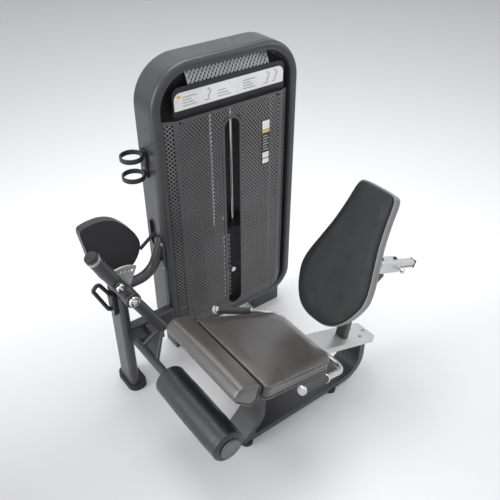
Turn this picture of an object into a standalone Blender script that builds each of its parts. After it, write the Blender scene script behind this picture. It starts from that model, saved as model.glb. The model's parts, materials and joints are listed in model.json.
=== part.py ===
"""Leg extension machine: weight tower, seat, reclined back pad and a pivoting leg lever.

Metres, +Z up.  The origin is on the floor under the middle of the machine.  The user sits
facing -X; the weight tower stands on the +Y side.
"""
import math

import bmesh
import bpy
from mathutils import Matrix, Vector

# ---------------------------------------------------------------- driving dimensions
GAP = 0.0003            # clearance kept between touching pieces
SHARP = math.radians(35)

TOWER_X = 0.075         # middle of the tower loop
TOWER_HALF = 0.375
TOWER_FOOT_Z = 0.112    # underside of the loop
TOWER_TOP = 1.50
TOWER_FRONT_Y = 0.370
TOWER_BACK_Y = 0.525
LOOP_WALL = 0.042       # thickness of the loop tube, seen from the front
LOOP_RADII = (0.13, 0.13, 0.19, 0.19)   # outer corners, lower left first, anticlockwise

SLOT_X = 0.078          # weight slot, selector stem and guide rods share this line
SLOT_HALF = 0.040
SLOT_Z = (0.178, 1.208)
SHEET = 0.003
SHROUD_Y = 0.3695
SHROUD_TOP = 1.268

PLATE_PITCH = 0.0265
STACK_Z = 0.186         # underside of the lowest plate
PLATES_RESTING = 7
PLATES_LIFTED = 8       # plates that hang on the selector pin, below the top plate
STACK_HALF_X = 0.150
STACK_Y = (0.415, 0.503)
ROD_OFFSET = 0.055
ROD_R = 0.0085
STEM_R = 0.010

BELT_Y = 0.468
BELT_WIDTH = 0.030
BELT_THICK = 0.004
PULLEY_R = 0.040
RISE_X = -0.160         # vertical belt run inside the tower
TOP_PULLEY_Z = 1.360
IDLER_Z = 0.830

PIVOT = Vector((-0.560, 0.0, 0.630))    # lever axis, along Y
LEVER_Y = 0.235
LEVER_LEAN = math.radians(27)           # counterweight tube, from vertical towards -X
COUNTER_R = 0.029
COUNTER_LENGTH = 0.290
ARM_R = 0.026
KNEE = Vector((-0.425, LEVER_Y, 0.380))  # where the lower arm meets the roller yoke
AXLE_X = -0.535
AXLE_Z = 0.316
AXLE_R = 0.019
SPINDLE_R = 0.0125
ROLLER_R = 0.070
ROLLER_Y = (-0.440, 0.004)
PIN_RADIUS = 0.100      # range holes, from the pivot
HOLE_STEP = math.radians(11.25)

POST_X = (-0.583, -0.537)
POST_Y = (0.300, 0.425)
POST_TOP = 0.575

SEAT_Y = -0.225         # seat, back pad and slider share this line
SEAT_TILT = math.radians(19.1)
SEAT_FRONT = Vector((-0.377, SEAT_Y, 0.575))    # front edge of the seat's top
SEAT_LENGTH = 0.436
SEAT_THICK = 0.065
BOARD = 0.0075
RAIL_TOP = 0.073        # rail, below the seat's top surface
RAIL_THICK = 0.030
RAIL_HALF = 0.062
RAIL_START = 0.075      # rail ends, measured back from the seat's front edge
RAIL_END = 0.890
BASE_HALF = 0.062
BASE_LOW = 0.022        # underside of the seat base, on its feet

BACK_TILT = math.radians(29.5)
BACK_BOTTOM = Vector((0.060, SEAT_Y, 0.495))
BACK_THICK = 0.046
SHELL_THICK = 0.016

SLIDER_TILT = math.radians(21.5)
SLIDER_END = Vector((0.707, SEAT_Y, 0.502))
SLIDER_HALF = 0.020
SLIDER_LENGTH = 0.530

FINISHES = {            # colour, roughness, metallic
    "frame_paint": ((0.105, 0.108, 0.112), 0.38, 0.35),
    "shroud_paint": ((0.070, 0.071, 0.073), 0.45, 0.3),
    "silver_paint": ((0.62, 0.62, 0.61), 0.35, 0.6),
    "vent_paint": ((0.36, 0.37, 0.37), 0.45, 0.4),
    "chrome": ((0.78, 0.78, 0.79), 0.12, 1.0),
    "steel": ((0.50, 0.50, 0.51), 0.32, 1.0),
    "cast_iron": ((0.045, 0.045, 0.048), 0.55, 0.5),
    "black_plastic": ((0.018, 0.018, 0.020), 0.45, 0.0),
    "rubber": ((0.020, 0.020, 0.021), 0.75, 0.0),
    "belt": ((0.014, 0.014, 0.015), 0.6, 0.0),
    "grip": ((0.085, 0.088, 0.090), 0.6, 0.0),
    "leather": ((0.060, 0.057, 0.055), 0.45, 0.0),
    "back_leather": ((0.024, 0.026, 0.028), 0.5, 0.0),
    "roller_skin": ((0.038, 0.040, 0.046), 0.5, 0.0),
    "white_card": ((0.86, 0.86, 0.85), 0.35, 0.0),
}

FLAT_XZ = Matrix.Rotation(math.radians(90), 4, "X")     # outline x, y -> world X, Z


# ---------------------------------------------------------------- scene and materials
def clear_scene():
    for old in list(bpy.data.objects):
        bpy.data.objects.remove(old, do_unlink=True)


def new_collection(name):
    group = bpy.data.collections.new(name)
    bpy.context.scene.collection.children.link(group)
    return group


def material(name):
    found = bpy.data.materials.get(name)
    if found:
        return found
    colour, roughness, metallic = FINISHES[name]
    made = bpy.data.materials.new(name)
    made.use_nodes = True
    shader = made.node_tree.nodes["Principled BSDF"]
    shader.inputs["Base Color"].default_value = (*colour, 1.0)
    shader.inputs["Roughness"].default_value = roughness
    shader.inputs["Metallic"].default_value = metallic
    return made


# ---------------------------------------------------------------- outlines
def arc(centre, radius, start, end, steps):
    """Points on an arc; angles in radians."""
    turn = (end - start) / steps
    return [(centre[0] + radius * math.cos(start + i * turn),
             centre[1] + radius * math.sin(start + i * turn)) for i in range(steps + 1)]


def fillet(before, corner, after, radius, steps):
    """The arc that rounds one corner of an outline."""
    corner = Vector(corner)
    back = (Vector(before) - corner).normalized()
    ahead = (Vector(after) - corner).normalized()
    half = back.angle(ahead) / 2
    centre = corner + (back + ahead).normalized() * radius / math.sin(half)
    first = corner + back * radius / math.tan(half) - centre
    last = corner + ahead * radius / math.tan(half) - centre
    start = math.atan2(first.y, first.x)
    sweep = (math.atan2(last.y, last.x) - start + math.pi) % (2 * math.pi) - math.pi
    return arc(centre, radius, start, start + sweep, steps)


def rounded(corners, radii, steps=5, closed=True):
    """An outline or path with each corner rounded to its own radius."""
    if not isinstance(radii, (list, tuple)):
        radii = [radii] * len(corners)
    points = []
    last = len(corners) - 1
    for i, (corner, radius) in enumerate(zip(corners, radii)):
        if radius <= 0 or (not closed and i in (0, last)):
            points.append(tuple(corner))
            continue
        points += fillet(corners[i - 1], corner, corners[(i + 1) % len(corners)], radius, steps)
    return points


def rectangle(low, high, radii, steps=5):
    corners = [(low[0], low[1]), (high[0], low[1]), (high[0], high[1]), (low[0], high[1])]
    return rounded(corners, radii, steps)


def slot_outline(x, half, low, high, steps=6):
    """A vertical slot with round ends."""
    top = arc((x, high - half), half, 0, math.pi, steps)
    bottom = arc((x, low + half), half, math.pi, 2 * math.pi, steps)
    return top + bottom


def strip(path, thickness):
    """The outline of a bar that follows a path in its plane."""
    left, right = [], []
    for i, point in enumerate(path):
        here = Vector(point)
        back = here - Vector(path[i - 1]) if i else Vector(path[1]) - here
        ahead = Vector(path[i + 1]) - here if i < len(path) - 1 else back
        along = (back.normalized() + ahead.normalized()).normalized()
        reach = thickness / 2 / max(0.5, along.dot(ahead.normalized()))
        side = Vector((-along.y, along.x)) * reach
        left.append(tuple(here + side))
        right.append(tuple(here - side))
    return left + right[::-1]


def smooth_closed(points, steps=3):
    """Catmull-Rom curve through a closed ring of points."""
    ring = [Vector(point) for point in points]
    count = len(ring)
    curve = []
    for i in range(count):
        a, b, c, d = (ring[(i + k) % count] for k in (-1, 0, 1, 2))
        for step in range(steps):
            t = step / steps
            curve.append(tuple(0.5 * ((2 * b) + (c - a) * t + (2 * a - 5 * b + 4 * c - d) * t ** 2
                                      + (3 * b - a - 3 * c + d) * t ** 3)))
    return curve


# ---------------------------------------------------------------- solids
def adopt(name, mesh, finish, joint=None, group=None):
    """Link a mesh as a finished part, riding on its joint's empty."""
    obj = bpy.data.objects.new(name, mesh)
    (group or PARTS).objects.link(obj)
    mesh.materials.clear()
    mesh.materials.append(material(finish))
    mesh.shade_smooth()
    mesh.set_sharp_from_angle(angle=SHARP)
    if joint:
        obj.parent = joint
        obj.matrix_parent_inverse = Matrix.Translation(joint["place"]).inverted()
    return obj


def from_curve(name, curve, place):
    """Turn a curve into a welded mesh, in world space."""
    holder = bpy.data.objects.new(name + "_curve", curve)
    bpy.context.scene.collection.objects.link(holder)
    bpy.context.view_layer.update()
    graph = bpy.context.evaluated_depsgraph_get()
    mesh = bpy.data.meshes.new_from_object(holder.evaluated_get(graph))
    bpy.data.objects.remove(holder, do_unlink=True)
    work = bmesh.new()
    work.from_mesh(mesh)
    bmesh.ops.remove_doubles(work, verts=work.verts, dist=0.00005)
    bmesh.ops.recalc_face_normals(work, faces=work.faces)
    bmesh.ops.transform(work, matrix=place, verts=work.verts)
    work.to_mesh(mesh)
    work.free()
    return mesh


def bevel(obj, width, segments=2):
    edge = obj.modifiers.new("rounded_edges", "BEVEL")
    edge.width = width
    edge.segments = segments
    edge.limit_method = "ANGLE"
    edge.angle_limit = math.radians(40)
    edge.use_clamp_overlap = True
    return obj


def plate(name, loops, thickness, place, finish, joint=None, edge=0, segments=2, group=None):
    """A flat outline, extruded equally to both sides of its plane."""
    curve = bpy.data.curves.new(name, "CURVE")
    curve.dimensions = "2D"
    curve.fill_mode = "BOTH"
    curve.extrude = thickness / 2
    for loop in loops:
        spline = curve.splines.new("POLY")
        spline.points.add(len(loop) - 1)
        for point, (u, v) in zip(spline.points, loop):
            point.co = (u, v, 0, 1)
        spline.use_cyclic_u = True
    obj = adopt(name, from_curve(name, curve, place), finish, joint, group)
    return bevel(obj, edge, segments) if edge else obj


def side_plate(name, loops, y_range, finish, **options):
    """A plate whose outline is drawn in X and Z and which fills a range of Y."""
    low, high = y_range
    place = Matrix.Translation((0, (low + high) / 2, 0)) @ FLAT_XZ
    return plate(name, loops, high - low, place, finish, **options)


def floor_plate(name, loops, z_range, finish, **options):
    """A plate whose outline is drawn in X and Y and which fills a range of Z."""
    low, high = z_range
    place = Matrix.Translation((0, 0, (low + high) / 2))
    return plate(name, loops, high - low, place, finish, **options)


def box(name, low, high, finish, joint=None, edge=0, segments=2, place=None, group=None):
    low, high = Vector(low), Vector(high)
    work = bmesh.new()
    size = Matrix.Diagonal((*(high - low), 1))
    bmesh.ops.create_cube(work, size=1, matrix=Matrix.Translation((low + high) / 2) @ size)
    if place:
        bmesh.ops.transform(work, matrix=place, verts=work.verts)
    mesh = bpy.data.meshes.new(name)
    work.to_mesh(mesh)
    work.free()
    obj = adopt(name, mesh, finish, joint, group)
    return bevel(obj, edge, segments) if edge else obj


def rod(name, start, end, radius, finish, joint=None, sides=24, edge=0, group=None):
    """A round bar between two points."""
    start, end = Vector(start), Vector(end)
    along = end - start
    turn = Vector((0, 0, 1)).rotation_difference(along).to_matrix().to_4x4()
    work = bmesh.new()
    bmesh.ops.create_cone(work, cap_ends=True, segments=sides, radius1=radius, radius2=radius,
                          depth=along.length, matrix=Matrix.Translation((start + end) / 2) @ turn)
    mesh = bpy.data.meshes.new(name)
    work.to_mesh(mesh)
    work.free()
    obj = adopt(name, mesh, finish, joint, group)
    return bevel(obj, edge, 2) if edge else obj


def bent_tube(name, points, radius, finish, joint=None, resolution=3, group=None):
    """A round tube along a list of points."""
    curve = bpy.data.curves.new(name, "CURVE")
    curve.dimensions = "3D"
    curve.bevel_depth = radius
    curve.bevel_resolution = resolution
    curve.use_fill_caps = True
    spline = curve.splines.new("POLY")
    spline.points.add(len(points) - 1)
    for point, place in zip(spline.points, points):
        point.co = (*place, 1)
    return adopt(name, from_curve(name, curve, Matrix.Identity(4)), finish, joint, group)


def turned(name, profile, centre, finish, joint=None, steps=24, axis_turn=None, group=None):
    """A turned piece; the profile runs (radius, height) down the outer side first."""
    curve_mesh = bpy.data.meshes.new(name)
    points = [(radius, 0, height) for radius, height in profile]
    closed = profile[0][0] > 0
    edges = [(i, i + 1) for i in range(len(points) - 1)]
    if closed:
        edges.append((len(points) - 1, 0))
    curve_mesh.from_pydata(points, edges, [])
    obj = adopt(name, curve_mesh, finish, joint, group)
    spin = obj.modifiers.new("turn", "SCREW")
    spin.steps = steps
    spin.render_steps = steps
    spin.use_merge_vertices = True
    spin.merge_threshold = 0.00005
    place = Matrix.Translation(centre) @ (axis_turn or Matrix.Identity(4))
    obj.matrix_world = place
    return obj


def combine(obj, others, operation="DIFFERENCE"):
    """Cut, join or intersect a part with other objects, which become guides."""
    for other in others:
        if other.name in PARTS.objects:
            PARTS.objects.unlink(other)
            CUTTERS.objects.link(other)
        other.hide_render = True
        other.display_type = "WIRE"
        step = obj.modifiers.new(operation.lower(), "BOOLEAN")
        step.operation = operation
        step.solver = "EXACT"
        step.object = other
    return obj


def joint_empty(name, place, parent=None):
    empty = bpy.data.objects.new(name, None)
    PARTS.objects.link(empty)
    empty.empty_display_size = 0.05
    empty.location = place
    empty["place"] = tuple(place)
    if parent:
        empty.parent = parent
        empty.matrix_parent_inverse = Matrix.Translation(parent["place"]).inverted()
    return empty


# ---------------------------------------------------------------- tilted frames
def seat_frame():
    """X backwards along the seat, Y across it, Z out of its top; origin at the front edge."""
    return Matrix.Translation(SEAT_FRONT) @ Matrix.Rotation(SEAT_TILT, 4, "Y")


def back_frame():
    """X out of the pad's front, Y up along the pad, Z across it; origin at the lower edge."""
    up = Vector((math.sin(BACK_TILT), 0, math.cos(BACK_TILT)))
    front = Vector((-math.cos(BACK_TILT), 0, math.sin(BACK_TILT)))
    return Matrix.Translation(BACK_BOTTOM) @ Matrix((
        (0, up.x, front.x, 0), (-1, up.y, front.y, 0), (0, up.z, front.z, 0), (0, 0, 0, 1)))


def slider_frame():
    """X backwards along the slider; origin at its rear end."""
    return Matrix.Translation(SLIDER_END) @ Matrix.Rotation(SLIDER_TILT, 4, "Y")


# ---------------------------------------------------------------- weight tower
def loop_outline(inset):
    """The tower's rounded outline, moved inwards."""
    low = (TOWER_X - TOWER_HALF + inset, TOWER_FOOT_Z + inset)
    high = (TOWER_X + TOWER_HALF - inset, TOWER_TOP - inset)
    return rectangle(low, high, [radius - inset for radius in LOOP_RADII], 6)


def make_tower_frame():
    loop = side_plate("tower_frame", [loop_outline(0), loop_outline(LOOP_WALL)],
                      (TOWER_FRONT_Y, TOWER_BACK_Y), "frame_paint", edge=0.014)
    side = TOWER_X - TOWER_HALF
    window = box("belt_window", (side - 0.02, BELT_Y - 0.024, 0.655),
                 (side + LOOP_WALL + 0.02, BELT_Y + 0.024, 0.785), "rubber", group=CUTTERS)
    combine(loop, [window])
    return combine(loop, [make_tower_foot(side) for side in (-1, 1)], "UNION")


def make_tower_foot(side):
    """Floor block welded under one rounded corner of the loop."""
    width, inset = 0.164, 0.039
    outer = TOWER_X + side * (TOWER_HALF - inset)
    inner = outer - side * width
    block = box(f"tower_foot_{side}", (min(outer, inner), 0.420, 0), (max(outer, inner), 0.515, 0.170),
                "frame_paint", edge=0.004)
    inside = side_plate(f"inside_loop_{side}", [loop_outline(LOOP_WALL / 2)], (0.30, 0.60), "rubber",
                        group=CUTTERS)
    return combine(block, [inside])


def make_shroud():
    bends = [(-0.250, 0.396), (-0.200, SHROUD_Y), (0.350, SHROUD_Y), (0.388, 0.384)]
    shroud = floor_plate("front_shroud", [strip(bends, SHEET)], (0.160, SHROUD_TOP),
                         "shroud_paint")
    silhouette = side_plate("shroud_silhouette",
                            [rectangle((-0.252, 0.160), (0.390, SHROUD_TOP),
                                       (0.085, 0.085, 0.012, 0.012))],
                            (0.33, 0.43), "rubber", group=CUTTERS)
    slot = side_plate("slot_cutter", [slot_outline(SLOT_X, SLOT_HALF, *SLOT_Z, 8)],
                      (0.33, 0.43), "rubber", group=CUTTERS)
    combine(shroud, [silhouette], "INTERSECT")
    return combine(shroud, [slot])


def make_covers():
    inset = LOOP_WALL + 0.005
    side_plate("rear_cover", [loop_outline(inset)], (0.510, 0.510 + SHEET), "shroud_paint")
    low, high = (-0.245, 1.225), (0.396, 1.450)
    side_plate("header_panel", [rectangle(low, high, (0.004, 0.004, 0.135, 0.135))],
               (0.4400, 0.4430), "black_plastic")
    side_plate("title_panel", [rectangle((-0.196, 1.250), (0.378, 1.396), (0.004, 0.004, 0.03, 0.03))],
               (0.3868, 0.3920), "black_plastic")
    side_plate("placard", [rectangle((-0.190, 1.300), (0.370, 1.374), (0.004, 0.004, 0.03, 0.03))],
               (0.3835, 0.3865), "white_card")
    lean = math.atan2(0.030, 0.066)
    place = Matrix.Translation((0, 0.405, 1.380)) @ Matrix.Rotation(-lean, 4, "X") @ FLAT_XZ
    plate("vent_plate", [rectangle((-0.107, 0), (0.310, 0.070), 0.003)], 0.0025, place, "vent_paint")


def make_guides():
    for side, name in ((-1, "guide_rod_left"), (1, "guide_rod_right")):
        x = SLOT_X + side * ROD_OFFSET
        rod(name, (x, 0.459, 0.1843), (x, 0.459, 1.2865), ROD_R, "chrome", sides=16)
    base = (TOWER_FOOT_Z + LOOP_WALL + GAP, 0.1840)
    floor_plate("stack_base", [rectangle((SLOT_X - 0.155, 0.413), (SLOT_X + 0.155, 0.505), 0.006)],
                base, "black_plastic")
    bridge = side_plate("pulley_bridge",
                        [rectangle((-0.250, 1.2868), (0.400, 1.430), (0.004, 0.004, 0.115, 0.115))],
                        (0.4434, 0.4510), "cast_iron")
    flange = box("bridge_flange", (-0.10, 0.448, 1.2868), (0.25, 0.504, 1.2960), "cast_iron")
    notch = box("belt_notch", (SLOT_X - 0.010, 0.452, 1.27), (SLOT_X + 0.014, 0.51, 1.31),
                "rubber", group=CUTTERS)
    combine(bridge, [flange], "UNION")
    return combine(bridge, [notch])


# ---------------------------------------------------------------- weights
def circle(centre, radius, steps=16):
    return arc(centre, radius, 0, 2 * math.pi * (steps - 1) / steps, steps - 1)


def plate_block(name, low, plates, finish, joint=None):
    """A pile of weight plates with its three bores: two guide rods and the selector stem."""
    outer = rectangle((SLOT_X - STACK_HALF_X, STACK_Y[0]), (SLOT_X + STACK_HALF_X, STACK_Y[1]), 0.003, 2)
    bores = [circle((SLOT_X, BELT_Y), STEM_R + 0.0015)]
    bores += [circle((SLOT_X + side * ROD_OFFSET, 0.459), ROD_R + 0.0015) for side in (-1, 1)]
    height = plates * PLATE_PITCH - 2 * GAP
    return floor_plate(name, [outer] + bores, (low + GAP, low + GAP + height), finish, joint=joint)


def make_weights(carriage, pin_joint):
    split = STACK_Z + PLATES_RESTING * PLATE_PITCH
    top = split + PLATES_LIFTED * PLATE_PITCH
    plate_block("resting_plates", STACK_Z, PLATES_RESTING, "cast_iron")
    lifted = plate_block("lifted_plates", split, PLATES_LIFTED, "cast_iron", carriage)
    pin_z = split + PLATE_PITCH / 2
    pin_bore = rod("pin_bore", (SLOT_X, STACK_Y[0] - 0.01, pin_z), (SLOT_X, BELT_Y - 0.005, pin_z),
                   0.0062, "rubber", sides=12, group=CUTTERS)
    combine(lifted, [pin_bore])
    plate_block("top_plate", top, 1, "cast_iron", carriage)

    head_z = top + PLATE_PITCH
    stem = rod("selector_stem", (SLOT_X, BELT_Y, STACK_Z + 0.004), (SLOT_X, BELT_Y, head_z + 0.01),
               STEM_R, "steel", joint=carriage, sides=16)
    head = box("stem_head", (SLOT_X - 0.040, 0.452, head_z + GAP), (SLOT_X + 0.030, 0.486, head_z + 0.070),
               "black_plastic", edge=0.004)
    combine(stem, [head], "UNION")
    front = STACK_Y[0]
    profile = [(0.0, -0.040), (0.0125, -0.040), (0.0145, -0.036), (0.0145, -0.020), (0.009, -0.016),
               (0.009, -0.008), (0.0055, -0.006), (0.0055, 0.040), (0.0, 0.042)]
    turned("selector_pin", [(r, -h) for r, h in profile], (SLOT_X, front, pin_z), "chrome",
           joint=pin_joint, steps=16, axis_turn=Matrix.Rotation(math.radians(90), 4, "X"))


# ---------------------------------------------------------------- belt and pulleys
def make_pulley(name, x, z, joint):
    half = BELT_WIDTH / 2
    profile = [(0.0055, half), (PULLEY_R + 0.003, half), (PULLEY_R + 0.003, half - 0.002),
               (PULLEY_R - BELT_THICK, half - 0.004), (PULLEY_R - BELT_THICK, 0.004 - half),
               (PULLEY_R + 0.003, 0.002 - half), (PULLEY_R + 0.003, -half), (0.0055, -half)]
    profile = [(r, h * 0.86) for r, h in profile]
    return turned(name, profile, (x, BELT_Y, z), "black_plastic", joint=joint, steps=24,
                  axis_turn=Matrix.Rotation(math.radians(90), 4, "X"))


def pulley_axle(name, spot):
    """Pin that a pulley turns on, welded to the plate in front of it."""
    x, z = spot
    return rod(name, (x, 0.4470, z), (x, 0.4900, z), 0.0052, "steel", sides=12)


def belt(name, path, joint=None):
    """A flat belt along a path in X and Z."""
    half = BELT_WIDTH / 2 - 0.005
    return side_plate(name, [strip(path, BELT_THICK)], (BELT_Y - half, BELT_Y + half), "belt",
                      joint=joint)


def make_belt_drive(joints):
    idler = (RISE_X - PULLEY_R, IDLER_Z)
    left = (RISE_X + PULLEY_R, TOP_PULLEY_Z)
    right = (SLOT_X - PULLEY_R, TOP_PULLEY_Z)
    for name, (x, z) in (("idler_pulley", idler), ("top_pulley_left", left),
                         ("top_pulley_right", right)):
        make_pulley(name, x, z, joints[name])
    hanger = side_plate("idler_bracket", [rectangle((-0.2565, IDLER_Z - 0.03), (-0.170, IDLER_Z + 0.03),
                                                    0.004)], (0.4434, 0.4510), "cast_iron")
    combine(hanger, [pulley_axle("idler_axle", idler)], "UNION")
    bridge = bpy.data.objects["pulley_bridge"]
    combine(bridge, [pulley_axle("top_axle_left", left), pulley_axle("top_axle_right", right)], "UNION")
    run = PULLEY_R + GAP * 2                 # belt centreline, outside the pulley's groove
    dip = math.radians(-55)                  # where the belt leaves the idler
    leave = (idler[0] + run * math.cos(dip), idler[1] + run * math.sin(dip))
    down = Vector((-math.cos(dip + math.pi / 2), -math.sin(dip + math.pi / 2)))
    window_x = TOWER_X - TOWER_HALF + 0.006
    reach = (leave[0] - window_x) / -down.x
    entry = (leave[0] + down.x * reach, leave[1] + down.y * reach)
    corner_left = arc(left, run, math.pi, math.pi / 2, 6)
    corner_right = arc(right, run, math.pi / 2, 0, 6)
    bend = arc(idler, run, dip, 0, 4)
    belt("drive_belt", [entry] + bend + corner_left + corner_right + [(SLOT_X, TOP_PULLEY_Z - 0.03)])
    outside = 0.100
    belt("cam_belt", [(entry[0] + down.x * outside, entry[1] + down.y * outside),
                      (entry[0] + down.x * 0.001, entry[1] + down.y * 0.001)])
    head_top = STACK_Z + (PLATES_RESTING + PLATES_LIFTED + 1) * PLATE_PITCH + 0.070
    belt("stack_belt", [(SLOT_X, head_top + GAP), (SLOT_X, TOP_PULLEY_Z - 0.031)])


def make_cup_holder():
    side = TOWER_X - TOWER_HALF
    centre = (side - 0.062, 0.468)
    bracket = box("cup_holder", (side - 0.0110, 0.446, 1.012), (side - GAP, 0.490, 1.138),
                  "black_plastic", edge=0.003)
    for i, z in enumerate((1.030, 1.120)):
        hoop = [(0.044, 0.011), (0.050, 0.009), (0.050, -0.009), (0.044, -0.011)]
        ring = turned(f"cup_ring_{i}", hoop, (*centre, z), "black_plastic")
        arm = box(f"cup_arm_{i}", (side - 0.0155, 0.454, z - 0.008), (side - 0.003, 0.482, z + 0.008),
                  "black_plastic")
        combine(bracket, [arm, ring], "UNION")


# ---------------------------------------------------------------- lever post and beams
def make_post():
    post = floor_plate("main_post", [rectangle((POST_X[0], POST_Y[0]), (POST_X[1], POST_Y[1]),
                                               0.0215, 4)], (0.0305, POST_TOP), "frame_paint")
    barrel = rod("pivot_barrel", (PIVOT.x, POST_Y[0], PIVOT.z), (PIVOT.x, POST_Y[1], PIVOT.z), 0.034,
                 "frame_paint", sides=24)
    neck = box("post_neck", (PIVOT.x - 0.02, POST_Y[0] + 0.012, POST_TOP - 0.05),
               (PIVOT.x + 0.02, POST_Y[1] - 0.012, PIVOT.z), "frame_paint")
    bore = rod("pivot_bore", (PIVOT.x, 0.2, PIVOT.z), (PIVOT.x, 0.5, PIVOT.z), 0.0160, "rubber",
               sides=24, group=CUTTERS)
    combine(post, [neck, barrel], "UNION")
    combine(post, [bore])
    foot = [(-0.593, 0.286), (-0.502, 0.286), (-0.502, 0.451), (-0.593, 0.451)]
    floor_plate("post_foot", [rounded(foot, 0.040)], (0, 0.030), "rubber", edge=0.004)


def make_brace():
    """Curved tube from the top of the post up to the tower's side."""
    side = TOWER_X - TOWER_HALF
    path = rounded([(POST_X[1] + GAP, 0.545), (-0.365, 0.545), (-0.285, 0.720)], 0.110, 8,
                   closed=False)
    brace = bent_tube("brace_tube", [(x, 0.410, z) for x, z in path], 0.0245, "frame_paint", resolution=4)
    pad = box("brace_pad", (side - 0.0105, 0.372, 0.560), (side - GAP, 0.446, 0.715), "frame_paint")
    keep = box("brace_limit", (-0.60, 0.35, 0.50), (side - 0.004, 0.47, 0.80), "rubber", group=CUTTERS)
    combine(brace, [keep], "INTERSECT")
    return combine(brace, [pad], "UNION")


def make_beams():
    side = TOWER_X - TOWER_HALF
    beam = box("side_beam", (POST_X[1] + GAP, 0.335, 0.245), (side - GAP, 0.390, 0.350), "frame_paint",
               edge=0.012)
    arm = box("stop_arm", (-0.465, 0.256, 0.288), (-0.405, 0.345, 0.340), "frame_paint", edge=0.005)
    combine(beam, [arm], "UNION")
    rod("stop_bumper", (AXLE_X + AXLE_R + 0.0007, 0.272, AXLE_Z), (-0.465 - GAP, 0.272, AXLE_Z), 0.0115,
        "rubber", sides=16, edge=0.002)
    box("seat_link", (-0.2695, SEAT_Y + BASE_HALF + GAP, 0.104), (-0.2365, TOWER_FRONT_Y - GAP, 0.152),
        "frame_paint", edge=0.010)


def make_rod_handle():
    """Black bent-rod grab handle on the front of the post."""
    y = 0.345
    path = rounded([(-0.590, 0.508), (-0.616, 0.508), (-0.672, 0.640), (-0.645, 0.668), (-0.597, 0.578)],
                   0.014, 4, closed=False)
    handle = bent_tube("post_handle", [(x, y, z) for x, z in path], 0.0090, "black_plastic",
                       resolution=3)
    block = box("post_handle_block", (-0.604, 0.318, 0.480), (POST_X[0] - GAP, 0.372, 0.592),
                "black_plastic", edge=0.005)
    return combine(block, [handle], "UNION")


# ---------------------------------------------------------------- lever
def lever_point(distance, y=LEVER_Y):
    """A point up the counterweight tube, from the pivot."""
    return Vector((PIVOT.x - distance * math.sin(LEVER_LEAN), y,
                   PIVOT.z + distance * math.cos(LEVER_LEAN)))


def cam_outline():
    """Long lobe above the shaft, flat on its front side, drawn about the pivot."""
    lobe = [(-0.020, -0.045), (-0.054, 0.030), (-0.071, 0.140), (-0.083, 0.226), (-0.062, 0.249),
            (0.010, 0.255), (0.072, 0.234), (0.125, 0.185), (0.165, 0.125), (0.180, 0.060),
            (0.150, -0.010), (0.090, -0.055), (0.025, -0.065)]
    return [(PIVOT.x + x, PIVOT.z + z) for x, z in smooth_closed(lobe)]


def make_cam(cam_joint):
    side_plate("cam", [cam_outline()], (0.4520, 0.4920), "black_plastic", joint=cam_joint,
               edge=0.006, segments=2)
    shaft_bore = rod("cam_bore", (PIVOT.x, 0.40, PIVOT.z), (PIVOT.x, 0.55, PIVOT.z), 0.0153, "rubber",
                     group=CUTTERS)
    combine(bpy.data.objects["cam"], [shaft_bore])
    rod("cam_shaft", (PIVOT.x, 0.1935, PIVOT.z), (PIVOT.x, 0.4920, PIVOT.z), 0.0150, "steel",
        joint=cam_joint)
    outer = PIN_RADIUS + 0.022
    first = math.pi / 2 + LEVER_LEAN + math.radians(9)
    last = math.pi / 2 + LEVER_LEAN - 5 * HOLE_STEP - math.radians(6)
    centre = (PIVOT.x, PIVOT.z)
    sector_loop = arc(centre, outer, first, last, 14) + [(PIVOT.x + 0.026, PIVOT.z + 0.004)]
    sector_loop += arc(centre, 0.028, 0, -math.pi, 8) + [(PIVOT.x - 0.030, PIVOT.z + 0.030)]
    holes = []
    for i in range(6):
        angle = math.pi / 2 + LEVER_LEAN - i * HOLE_STEP
        spot = (PIVOT.x + PIN_RADIUS * math.cos(angle), PIVOT.z + PIN_RADIUS * math.sin(angle))
        holes.append(arc(spot, 0.0070, 0, 2 * math.pi * 11 / 12, 11))
    hub_hole = arc(centre, 0.0153, 0, 2 * math.pi * 23 / 24, 23)
    side_plate("range_sector", [sector_loop, hub_hole] + holes, (0.2790, 0.2870), "steel",
               joint=cam_joint)


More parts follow.
